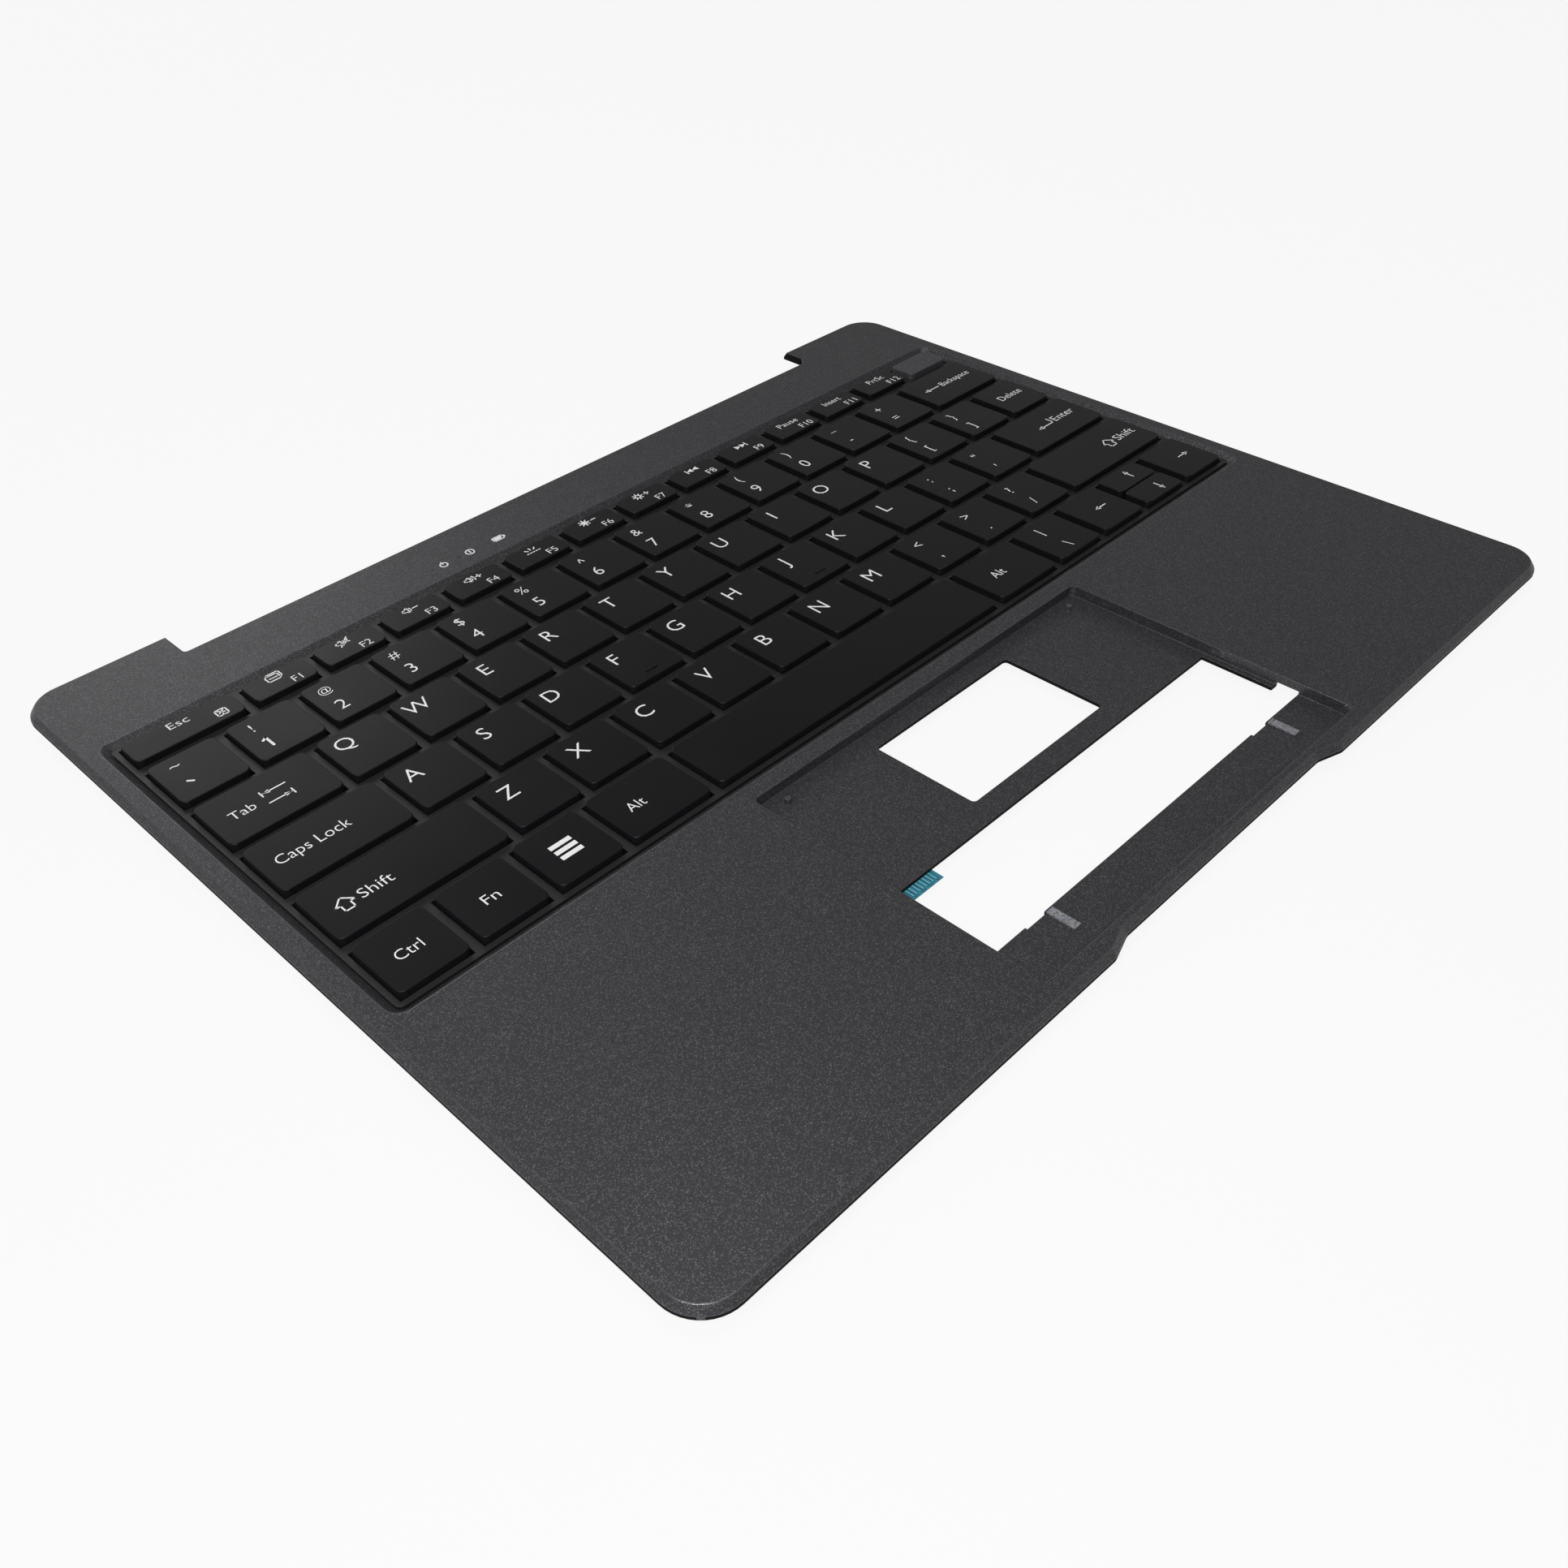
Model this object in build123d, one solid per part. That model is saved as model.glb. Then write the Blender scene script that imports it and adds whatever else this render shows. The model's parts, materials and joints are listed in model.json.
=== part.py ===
"""Laptop top case with its keyboard: palm-rest cover, key grille, scissor-hinged keys and switch layers.

The origin is on the plane of the screw bosses' ends, under the middle of the case.
+X runs to the right of a typist, +Y towards the screen hinge and +Z up. Sizes are millimetres.
"""
import os
from math import atan, degrees

from build123d import *

# Case: a moulded cover with a bevelled rim
CASE_WIDTH = 291.0
CASE_DEPTH = 222.4
CASE_CORNER_RADIUS = 9.0
DECK_HEIGHT = 6.0
DECK_THICKNESS = 1.6
RIM_HEIGHT = 2.4
RIM_WALL = 1.6
BEVEL_WIDTH = 1.6
BEVEL_DROP = 1.2

# Notch for the screen hinge in the rear edge
HINGE_CORNER_WIDTH = 37.3
HINGE_NOTCH_DEPTH = 10.3
HINGE_NOTCH_RADIUS = 1.0
HINGE_NOTCH_CHAMFER = 2.6

# Finger notch for the lid in the front edge
LID_NOTCH_WIDTH = 83.4
LID_NOTCH_X = 1.6
LID_NOTCH_END = 6.5
LID_NOTCH_DEPTH = 2.0
LID_NOTCH_RADIUS = 3.5

# Key field
KEY_SIDE_MARGIN = 8.7
REAR_DECK_DEPTH = 33.4
KEY_PITCH_COUNT = 14.4
KEY_GAP = 3.2
FUNCTION_ROW_GAP = 3.8
FUNCTION_KEY_DEPTH = 7.9
ALT_CELL_WIDTH = 24.2
HALF_KEY_GAP = 1.0

# Keycaps
KEY_HEIGHT = 2.5
KEY_PROUD = 0.6
KEY_DRAFT = 0.25
KEY_CORNER = 1.0
KEY_EDGE = 0.35
KEY_WALL = 1.0
KEY_ROOF = 1.0
KEY_TRAVEL = 1.4
HOMING_BAR_LENGTH = 3.4
HOMING_BAR_WIDTH = 0.6
HOMING_BAR_HEIGHT = 0.2
HOMING_BAR_INSET = 2.6

# Grille and the well that it floors
APERTURE_CLEARANCE = 0.3
GRILLE_THICKNESS = 1.0
GRILLE_RISE = 0.7
GRILLE_FIT = 0.15
WELL_MARGIN = 4.0
WELL_SLOPE = 2.0
WELL_CORNER_RADIUS = 3.6
GRILLE_SIDE_FLANGE = 2.5
GRILLE_END_FLANGE = 4.5
SPACER_WALL = 1.2

# Switch layers under the grille
PRESS_CLEARANCE = 0.35
MEMBRANE_THICKNESS = 0.2
MEMBRANE_MARGIN = 1.0
PLATE_THICKNESS = 0.3
BACKLIGHT_THICKNESS = 0.5
TAIL_WIDTH = 10.4
TAIL_CENTRE_X = -48.15
TAIL_END_SHOWS = 2.85
TAIL_CLEARANCE = 0.5
TAIL_HEADROOM = 0.1

# Rubber domes and scissor hinges
DOME_SIDES = 4
DOME_BASE_RADIUS = 2.0
DOME_TOP_RADIUS = 1.1
HINGE_WIDTH = 9.6
HINGE_LENGTH = 10.6
HINGE_ARM = 1.1
HINGE_BAR = 0.9
HINGE_POCKET_CLEARANCE = 0.4
SPACE_HINGE_SPACING = 40.0

# Stakes that hold the grille and the plate to the case
STAKE_WIDTH = 1.4
STAKE_HEAD_WIDTH = 2.4
STAKE_HEAD_HEIGHT = 0.5
STAKE_CLEARANCE = 0.1
STAKE_INSET = 2.4
STAKES_PER_SIDE = 3

# Touchpad recess
PAD_X = 0.7
PAD_WIDTH = 111.1
PAD_FRONT_MARGIN = 5.4
PAD_REAR_MARGIN = 8.2
PAD_FLOOR = 0.85
PAD_CORNER_RADIUS = 1.3
PAD_WINDOW_WIDTH = 45.4
PAD_WINDOW_REAR_MARGIN = 4.9
PAD_WINDOW_RADIUS = 1.0
PAD_SLOT_SIDE_MARGIN = 1.6
PAD_SLOT_DEPTH = 23.0
PAD_RIB_DEPTH = 6.0
PAD_SLOT_FRONT_MARGIN = 11.75
PAD_SLOT_NOTCH_WIDTH = 6.0
PAD_SLOT_NOTCH_DEPTH = 0.55
PAD_SLOT_NOTCH_SHIFT = -1.6
PAD_SLOT_CORNER_DEPTH = 5.4
PAD_SLOT_CORNER_RISE = 0.6
PAD_PIN_DIAMETER = 1.5
PAD_PIN_HEIGHT = 1.5
PAD_PIN_SPACING = 98.4
PAD_PIN_REAR_MARGIN = 3.6
PAD_STRIP_WIDTH = 2.0
PAD_STRIP_LENGTH = 6.5
PAD_STRIP_THICKNESS = 0.3
PAD_STRIP_SPACING = 80.6
PAD_STRIP_SHIFT = 2.2

# Screw bosses on the underside
BOSS_DIAMETER = 5.0
BOSS_BORE = 1.6
BOSS_BORE_DEPTH = 4.5
BOSS_EDGE_INSET = 8.0

# Levels
DECK_UNDERSIDE = DECK_HEIGHT - DECK_THICKNESS
RIM_BOTTOM = DECK_HEIGHT - RIM_HEIGHT
KEY_TOP = DECK_HEIGHT + KEY_PROUD
KEY_BOTTOM = KEY_TOP - KEY_HEIGHT
KEY_CEILING = KEY_TOP - KEY_ROOF
GRILLE_BOTTOM = DECK_UNDERSIDE - GRILLE_THICKNESS
GRILLE_TOP = DECK_UNDERSIDE + GRILLE_RISE
MEMBRANE_TOP = KEY_BOTTOM - KEY_TRAVEL - PRESS_CLEARANCE
PLATE_TOP = MEMBRANE_TOP - MEMBRANE_THICKNESS
PLATE_BOTTOM = PLATE_TOP - PLATE_THICKNESS
PAD_FLOOR_BOTTOM = MEMBRANE_TOP + TAIL_HEADROOM
PAD_FLOOR_TOP = PAD_FLOOR_BOTTOM + PAD_FLOOR

# Plan positions that several pieces share
CASE_FRONT = -CASE_DEPTH / 2
CASE_REAR = CASE_DEPTH / 2
HINGE_NOTCH_WIDTH = CASE_WIDTH - 2 * HINGE_CORNER_WIDTH
KEY_FIELD_WIDTH = CASE_WIDTH - 2 * KEY_SIDE_MARGIN
KEY_PITCH = KEY_FIELD_WIDTH / KEY_PITCH_COUNT
KEY_DEPTH = KEY_PITCH - KEY_GAP
KEYS_REAR = CASE_REAR - REAR_DECK_DEPTH
FUNCTION_ROW_FRONT = KEYS_REAR - FUNCTION_KEY_DEPTH
KEYS_FRONT = FUNCTION_ROW_FRONT - FUNCTION_ROW_GAP - (5 * KEY_PITCH - KEY_GAP)
KEYS_MIDDLE = (KEYS_FRONT + KEYS_REAR) / 2
KEYS_DEPTH = KEYS_REAR - KEYS_FRONT
PAD_FRONT = CASE_FRONT + PAD_FRONT_MARGIN
PAD_REAR = KEYS_FRONT - PAD_REAR_MARGIN
PAD_DEPTH = PAD_REAR - PAD_FRONT
PAD_MIDDLE = (PAD_FRONT + PAD_REAR) / 2
PAD_SLOT_WIDTH = PAD_WIDTH - 2 * PAD_SLOT_SIDE_MARGIN
PAD_SLOT_FRONT = PAD_FRONT + PAD_SLOT_FRONT_MARGIN
PAD_SLOT_REAR = PAD_SLOT_FRONT + PAD_SLOT_DEPTH
PAD_WINDOW_FRONT = PAD_SLOT_REAR + PAD_RIB_DEPTH
PAD_WINDOW_DEPTH = PAD_REAR - PAD_WINDOW_REAR_MARGIN - PAD_WINDOW_FRONT
WELL_FLOOR_WIDTH = KEY_FIELD_WIDTH + 2 * (WELL_MARGIN - WELL_SLOPE)
WELL_FLOOR_DEPTH = KEYS_DEPTH + 2 * (WELL_MARGIN - WELL_SLOPE)
WELL_FLOOR_RADIUS = WELL_CORNER_RADIUS - WELL_SLOPE
GRILLE_WIDTH = WELL_FLOOR_WIDTH + 2 * GRILLE_SIDE_FLANGE
GRILLE_DEPTH = WELL_FLOOR_DEPTH + 2 * GRILLE_END_FLANGE

UPPER_ROWS = [
    ("esc f1 f2 f3 f4 f5 f6 f7 f8 f9 f10 f11 f12 power_button", 1.0),
    ("grave 1 2 3 4 5 6 7 8 9 0 minus equals backspace", 0.0),
]
LETTER_ROWS = [
    ("tab q w e r t y u i o p bracket_left bracket_right delete", 1.0),
    ("caps_lock a s d f g h j k l semicolon quote enter", 0.5),
    ("shift_left z x c v b n m comma period slash shift_right", 0.5),
]
BOTTOM_ROW = "ctrl fn menu alt_left space alt_right backslash arrow_left arrow_up arrow_right"
HOMING_KEYS = ("key_f", "key_j")


class Key:
    """One keycap's place: its name and the rectangle of its top."""

    def __init__(self, name, left, front, width, depth):
        self.name = name if name == "power_button" else "key_" + name
        self.x = left + width / 2
        self.y = front + depth / 2
        self.width = width
        self.depth = depth


def row_keys(names, front, depth, first_share):
    """Unit keys in a row whose spare width goes to the first key, the last key or both."""
    names = names.split()
    spare = KEY_FIELD_WIDTH + KEY_GAP - len(names) * KEY_PITCH
    cells = [KEY_PITCH] * len(names)
    cells[0] += spare * first_share
    cells[-1] += spare * (1 - first_share)
    return placed_keys(names, cells, front, depth)


def bottom_row_keys():
    """Two wider Alt keys either side of the space bar, which takes the spare width."""
    names = BOTTOM_ROW.split()
    wide = {"alt_left": ALT_CELL_WIDTH, "alt_right": ALT_CELL_WIDTH}
    cells = [wide.get(name, KEY_PITCH) for name in names]
    space = names.index("space")
    cells[space] += KEY_FIELD_WIDTH + KEY_GAP - sum(cells)
    keys = placed_keys(names, cells, KEYS_FRONT, KEY_DEPTH)
    return split_arrow_key(keys)


def placed_keys(names, cells, front, depth):
    left = -KEY_FIELD_WIDTH / 2
    keys = []
    for name, cell in zip(names, cells):
        keys.append(Key(name, left, front, cell - KEY_GAP, depth))
        left += cell
    return keys


def split_arrow_key(keys):
    """The up and down arrows share one key's place, half its depth each."""
    half = (KEY_DEPTH - HALF_KEY_GAP) / 2
    up = next(key for key in keys if key.name == "key_arrow_up")
    left = up.x - up.width / 2
    place = keys.index(up)
    pair = [Key("arrow_down", left, KEYS_FRONT, up.width, half),
            Key("arrow_up", left, KEYS_FRONT + half + HALF_KEY_GAP, up.width, half)]
    return keys[:place] + pair + keys[place + 1:]


def keyboard_layout():
    function_names, function_share = UPPER_ROWS[0]
    number_names, number_share = UPPER_ROWS[1]
    keys = row_keys(function_names, FUNCTION_ROW_FRONT, FUNCTION_KEY_DEPTH, function_share)
    keys += row_keys(number_names, KEYS_FRONT + 4 * KEY_PITCH, KEY_DEPTH, number_share)
    upper_count = len(keys)
    for row, (names, share) in enumerate(LETTER_ROWS):
        keys += row_keys(names, KEYS_FRONT + (3 - row) * KEY_PITCH, KEY_DEPTH, share)
    keys += bottom_row_keys()
    return keys, upper_count


def block(width, depth, bottom, top, x=0.0, y=0.0):
    """A box given by its plan size, its two levels and its plan centre."""
    box = Box(width, depth, top - bottom, align=(Align.CENTER, Align.CENTER, Align.MIN))
    return Pos(x, y, bottom) * box


def rounded_block(width, depth, radius, bottom, top, x=0.0, y=0.0):
    face = Pos(x, y, bottom) * RectangleRounded(width, depth, radius)
    return extrude(face, top - bottom)


def keycap(key):
    """A hollow cap with drafted walls, cut corners and a bevelled top edge."""
    width = key.width + 2 * KEY_DRAFT
    depth = key.depth + 2 * KEY_DRAFT
    base = chamfer(Rectangle(width, depth).vertices(), KEY_CORNER)
    draft = degrees(atan(KEY_DRAFT / KEY_HEIGHT))
    cap = extrude(Pos(key.x, key.y, KEY_BOTTOM) * base, KEY_HEIGHT, taper=draft)
    top = cap.faces().sort_by(Axis.Z)[-1]
    cap = chamfer(top.edges(), KEY_EDGE)
    pocket = block(key.width - 2 * KEY_WALL, key.depth - 2 * KEY_WALL, KEY_BOTTOM, KEY_CEILING, key.x, key.y)
    cap -= pocket
    if key.name in HOMING_KEYS:
        bar_y = key.y - key.depth / 2 + HOMING_BAR_INSET
        cap += block(HOMING_BAR_LENGTH, HOMING_BAR_WIDTH, KEY_TOP - KEY_EDGE, KEY_TOP + HOMING_BAR_HEIGHT,
                     key.x, bar_y)
    return cap


def hinge_size(key):
    """A hinge as large as its standard size or the inside of its key allows."""
    width = min(HINGE_WIDTH, key.width - 2 * (KEY_WALL + HINGE_POCKET_CLEARANCE))
    length = min(HINGE_LENGTH, key.depth - 2 * (KEY_WALL + HINGE_POCKET_CLEARANCE))
    return width, length


def hinge_frame(x, y, width, length, rise):
    """One U-shaped link of a scissor hinge, leaning forwards or backwards from the membrane to the cap."""
    half = length / 2
    foot = HINGE_BAR
    low = [(-half, MEMBRANE_TOP), (-half + foot, MEMBRANE_TOP)]
    high = [(half, KEY_CEILING), (half - foot, KEY_CEILING)]
    profile = Polygon(*[(rise * across, level) for across, level in low + high], align=None)
    leaning = Plane(origin=(x - width / 2, y, 0), x_dir=(0, 1, 0), z_dir=(1, 0, 0))
    link = extrude(leaning * profile, width, dir=(1, 0, 0))
    opening = block(width - 2 * HINGE_ARM, length - foot, MEMBRANE_TOP, KEY_CEILING, x, y + rise * foot / 2)
    return link - opening


def scissor_hinge(key, x):
    """Two links that cross, the inner one between the arms of the outer one."""
    width, length = hinge_size(key)
    outer = hinge_frame(x, key.y, width, length, 1)
    inner = hinge_frame(x, key.y, width - 2 * HINGE_ARM, length, -1)
    return [outer, inner]


def hinge_places(key):
    """One hinge under the middle of a key, or two under the space bar."""
    if key.name == "key_space":
        return [key.x - SPACE_HINGE_SPACING / 2, key.x + SPACE_HINGE_SPACING / 2]
    return [key.x]


def hinges_under(keys):
    return [link for key in keys for x in hinge_places(key) for link in scissor_hinge(key, x)]


def rubber_dome(key):
    """A collapsible spring that rests on the membrane and carries the cap."""
    reach = (key.depth - 2 * (KEY_WALL + HINGE_POCKET_CLEARANCE)) / 2 - HINGE_BAR
    base_radius = min(DOME_BASE_RADIUS, reach)
    top_radius = base_radius * DOME_TOP_RADIUS / DOME_BASE_RADIUS
    height = KEY_CEILING - MEMBRANE_TOP
    draft = degrees(atan((base_radius - top_radius) / height))
    base = Pos(key.x, key.y, MEMBRANE_TOP) * RegularPolygon(base_radius, DOME_SIDES)
    return extrude(base, height, taper=draft)


def key_cells(keys):
    """Plan rectangles of the grille's apertures: the two half keys share one."""
    cells = []
    for key in keys:
        if key.name == "key_arrow_up":
            continue
        depth, y = key.depth, key.y
        if key.name == "key_arrow_down":
            depth = KEY_DEPTH
            y = KEYS_FRONT + KEY_DEPTH / 2
        cells.append((key.x, y, key.width, depth))
    return cells


def stake_places():
    """Stakes along the front and rear flanges of the grille."""
    span = GRILLE_WIDTH - 2 * GRILLE_END_FLANGE
    step = span / (STAKES_PER_SIDE - 1)
    reach = GRILLE_DEPTH / 2 - STAKE_INSET
    return [(-span / 2 + step * i, KEYS_MIDDLE + side * reach) for i in range(STAKES_PER_SIDE) for side in (-1, 1)]


def stake_holes(bottom, top):
    width = STAKE_WIDTH + 2 * STAKE_CLEARANCE
    return [block(width, width, bottom, top, x, y) for x, y in stake_places()]


def key_grille(keys):
    """A lattice that stands up into the well, with an aperture for each key, a flange under the deck and a spacer
    wall round its underside."""
    grille = block(GRILLE_WIDTH, GRILLE_DEPTH, GRILLE_BOTTOM, DECK_UNDERSIDE, y=KEYS_MIDDLE)
    grille += rounded_block(WELL_FLOOR_WIDTH - 2 * GRILLE_FIT, WELL_FLOOR_DEPTH - 2 * GRILLE_FIT,
                            WELL_FLOOR_RADIUS - GRILLE_FIT, DECK_UNDERSIDE, GRILLE_TOP, y=KEYS_MIDDLE)
    spacer = block(GRILLE_WIDTH, GRILLE_DEPTH, PLATE_TOP, GRILLE_BOTTOM, y=KEYS_MIDDLE)
    spacer -= block(GRILLE_WIDTH - 2 * SPACER_WALL, GRILLE_DEPTH - 2 * SPACER_WALL, PLATE_TOP, GRILLE_BOTTOM,
                    y=KEYS_MIDDLE)
    grille += spacer
    grow = 2 * (KEY_DRAFT + APERTURE_CLEARANCE)
    openings = [block(width + grow, depth + grow, GRILLE_BOTTOM, GRILLE_TOP, x, y)
                for x, y, width, depth in key_cells(keys)]
    grille -= openings
    grille -= stake_holes(GRILLE_BOTTOM, DECK_UNDERSIDE)
    tail_gap = TAIL_WIDTH + 2 * TAIL_CLEARANCE
    front = KEYS_MIDDLE - GRILLE_DEPTH / 2
    return grille - block(tail_gap, 2 * SPACER_WALL, PLATE_TOP, GRILLE_BOTTOM, TAIL_CENTRE_X, front + SPACER_WALL)


def membrane():
    """The printed switch film and its tail, which runs forward under the palm rest."""
    width = KEY_FIELD_WIDTH + 2 * (KEY_DRAFT + MEMBRANE_MARGIN)
    depth = KEYS_DEPTH + 2 * (KEY_DRAFT + MEMBRANE_MARGIN)
    film = block(width, depth, PLATE_TOP, MEMBRANE_TOP, y=KEYS_MIDDLE)
    tail_end = PAD_SLOT_REAR - TAIL_END_SHOWS
    tail_depth = KEYS_MIDDLE - tail_end
    tail = block(TAIL_WIDTH, tail_depth, PLATE_TOP, MEMBRANE_TOP, TAIL_CENTRE_X, tail_end + tail_depth / 2)
    return film + tail


def support_plate():
    plate = block(GRILLE_WIDTH, GRILLE_DEPTH, PLATE_BOTTOM, PLATE_TOP, y=KEYS_MIDDLE)
    return plate - stake_holes(PLATE_BOTTOM, PLATE_TOP)


def backlight_panel():
    return block(KEY_FIELD_WIDTH, KEYS_DEPTH, PLATE_BOTTOM - BACKLIGHT_THICKNESS, PLATE_BOTTOM, y=KEYS_MIDDLE)


def touchpad_strips():
    """Two short adhesive strips on the floor of the recess, in front of the slot."""
    top = PAD_FLOOR_TOP + PAD_STRIP_THICKNESS
    middle = PAD_SLOT_FRONT - PAD_SLOT_NOTCH_DEPTH - PAD_STRIP_LENGTH / 2
    return [block(PAD_STRIP_WIDTH, PAD_STRIP_LENGTH, PAD_FLOOR_TOP, top,
                  PAD_X + PAD_STRIP_SHIFT + side * PAD_STRIP_SPACING / 2, middle)
            for side in (-1, 1)]


def case_outline():
    """The plan of the case with its finger notch, before the hinge notch is cut."""
    outline = RectangleRounded(CASE_WIDTH, CASE_DEPTH, CASE_CORNER_RADIUS)
    outer = LID_NOTCH_WIDTH / 2
    inner = outer - LID_NOTCH_END
    inside = CASE_FRONT + LID_NOTCH_DEPTH
    notch = Polygon((-outer, CASE_FRONT), (outer, CASE_FRONT), (inner, inside), (-inner, inside), align=None)
    outline -= Pos(LID_NOTCH_X, 0) * notch
    ends = [v for v in outline.vertices() if abs(v.X - LID_NOTCH_X) < outer + LID_NOTCH_END and v.Y < 0]
    return fillet(ends, LID_NOTCH_RADIUS)


def hinge_notch():
    """The plan of the cut for the screen hinge: its left inner corner is rounded, its right one cut off."""
    notch = Pos(0, CASE_REAR) * Rectangle(HINGE_NOTCH_WIDTH, 2 * HINGE_NOTCH_DEPTH)
    left, right = sorted((v for v in notch.vertices() if v.Y < CASE_REAR), key=lambda v: v.X)
    notch = chamfer(right, HINGE_NOTCH_CHAMFER)
    left = notch.vertices().sort_by_distance(left)[0]
    return fillet(left, HINGE_NOTCH_RADIUS)


def deck_shell():
    """The bevelled cover with its rim, hollow from below."""
    outline = case_outline()
    shell = extrude(Pos(0, 0, RIM_BOTTOM) * outline, RIM_HEIGHT)
    top = shell.faces().sort_by(Axis.Z)[-1]
    shell = chamfer(top.edges(), BEVEL_DROP, BEVEL_WIDTH, reference=top)
    shell -= extrude(Pos(0, 0, RIM_BOTTOM) * hinge_notch(), RIM_HEIGHT)
    plan = outline - hinge_notch()
    hollow = offset(plan, -RIM_WALL, kind=Kind.INTERSECTION)
    return shell - extrude(Pos(0, 0, RIM_BOTTOM) * hollow, DECK_UNDERSIDE - RIM_BOTTOM)


def keyboard_well():
    """The sloped opening that the grille closes from below."""
    slope = degrees(atan(WELL_SLOPE / DECK_THICKNESS))
    plan = RectangleRounded(WELL_FLOOR_WIDTH, WELL_FLOOR_DEPTH, WELL_FLOOR_RADIUS)
    floor = Pos(0, KEYS_MIDDLE, DECK_UNDERSIDE) * plan
    return extrude(floor, DECK_THICKNESS, taper=-slope)


def pad_slot():
    """The long slot in the recess, with two shallow notches in its front edge and a right front corner that
    runs out through the wall of the recess."""
    middle = (PAD_SLOT_FRONT + PAD_SLOT_REAR) / 2
    slot = block(PAD_SLOT_WIDTH, PAD_SLOT_DEPTH, PAD_FLOOR_BOTTOM, PAD_FLOOR_TOP, PAD_X, middle)
    corner_reach = PAD_SLOT_SIDE_MARGIN + 2 * PAD_FLOOR
    slot += block(2 * corner_reach, PAD_SLOT_CORNER_DEPTH, PAD_FLOOR_BOTTOM, PAD_FLOOR_TOP + PAD_SLOT_CORNER_RISE,
                  PAD_X + PAD_SLOT_WIDTH / 2, PAD_SLOT_FRONT + PAD_SLOT_CORNER_DEPTH / 2)
    for side in (-1, 1):
        slot += block(PAD_SLOT_NOTCH_WIDTH, 2 * PAD_SLOT_NOTCH_DEPTH, PAD_FLOOR_BOTTOM, PAD_FLOOR_TOP,
                      PAD_X + PAD_SLOT_NOTCH_SHIFT + side * PAD_STRIP_SPACING / 2, PAD_SLOT_FRONT)
    return slot


def touchpad_pan(shell):
    """The recess for the touchpad: a sunk pan with a window, a slot and two locating pins."""
    wall = PAD_FLOOR
    shell += rounded_block(PAD_WIDTH + 2 * wall, PAD_DEPTH + 2 * wall, PAD_CORNER_RADIUS + wall, PAD_FLOOR_BOTTOM,
                           DECK_UNDERSIDE, PAD_X, PAD_MIDDLE)
    shell -= rounded_block(PAD_WIDTH, PAD_DEPTH, PAD_CORNER_RADIUS, PAD_FLOOR_TOP, DECK_HEIGHT, PAD_X, PAD_MIDDLE)
    window_y = PAD_WINDOW_FRONT + PAD_WINDOW_DEPTH / 2
    shell -= rounded_block(PAD_WINDOW_WIDTH, PAD_WINDOW_DEPTH, PAD_WINDOW_RADIUS, PAD_FLOOR_BOTTOM, PAD_FLOOR_TOP,
                           PAD_X, window_y)
    shell -= pad_slot()
    for side in (-1, 1):
        pin = Cylinder(PAD_PIN_DIAMETER / 2, PAD_PIN_HEIGHT, align=(Align.CENTER, Align.CENTER, Align.MIN))
        shell += Pos(PAD_X + side * PAD_PIN_SPACING / 2, PAD_REAR - PAD_PIN_REAR_MARGIN, PAD_FLOOR_TOP) * pin
    return shell


def boss_places():
    """One boss in each corner of the case."""
    x = CASE_WIDTH / 2 - BOSS_EDGE_INSET
    y = CASE_DEPTH / 2 - BOSS_EDGE_INSET
    return [(-x, -y), (x, -y), (x, y), (-x, y)]


def add_bosses(shell):
    foot = (Align.CENTER, Align.CENTER, Align.MIN)
    for x, y in boss_places():
        shell += Pos(x, y, 0) * Cylinder(BOSS_DIAMETER / 2, DECK_UNDERSIDE, align=foot)
        shell -= Pos(x, y, 0) * Cylinder(BOSS_BORE / 2, BOSS_BORE_DEPTH, align=foot)
    return shell


def add_stakes(shell):
    """Stakes through the grille and the plate, with heads formed under the plate."""
    for x, y in stake_places():
        shell += block(STAKE_WIDTH, STAKE_WIDTH, PLATE_BOTTOM, DECK_UNDERSIDE, x, y)
        shell += block(STAKE_HEAD_WIDTH, STAKE_HEAD_WIDTH, PLATE_BOTTOM - STAKE_HEAD_HEIGHT, PLATE_BOTTOM, x, y)
    return shell


def top_case():
    shell = deck_shell()
    shell -= keyboard_well()
    shell = touchpad_pan(shell)
    shell = add_bosses(shell)
    return add_stakes(shell)


def save(node, shapes):
    solids = [solid for shape in shapes for solid in shape.solids()]
    shape = solids[0] if len(solids) == 1 else Compound(solids)
    export_step(shape, os.path.join("parts", node + ".step"))


def main():
    os.makedirs("parts", exist_ok=True)
    keys, upper_count = keyboard_layout()
    upper = [key for key in keys[:upper_count] if key.name != "power_button"]
    moving = [key for key in keys if key not in upper]
    save("top_case", [top_case()])
    save("key_grille", [key_grille(keys)])
    save("membrane", [membrane()])
    save("support_plate", [support_plate()])
    save("backlight_panel", [backlight_panel()])
    save("rubber_domes", [rubber_dome(key) for key in keys])
    save("scissor_hinges", hinges_under(keys))
    save("touchpad_strips", touchpad_strips())
    save("upper_row_keys", [keycap(key) for key in upper])
    for key in moving:
        save(key.name, [keycap(key)])


if __name__ == "__main__":
    main()
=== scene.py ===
"""Looks for a laptop top case with its keyboard: the painted cover, the coated keycaps with their printed
legends, the switch layers and the studio that shows them. Sizes are metres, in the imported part's frame.
"""
import json
import math

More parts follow.
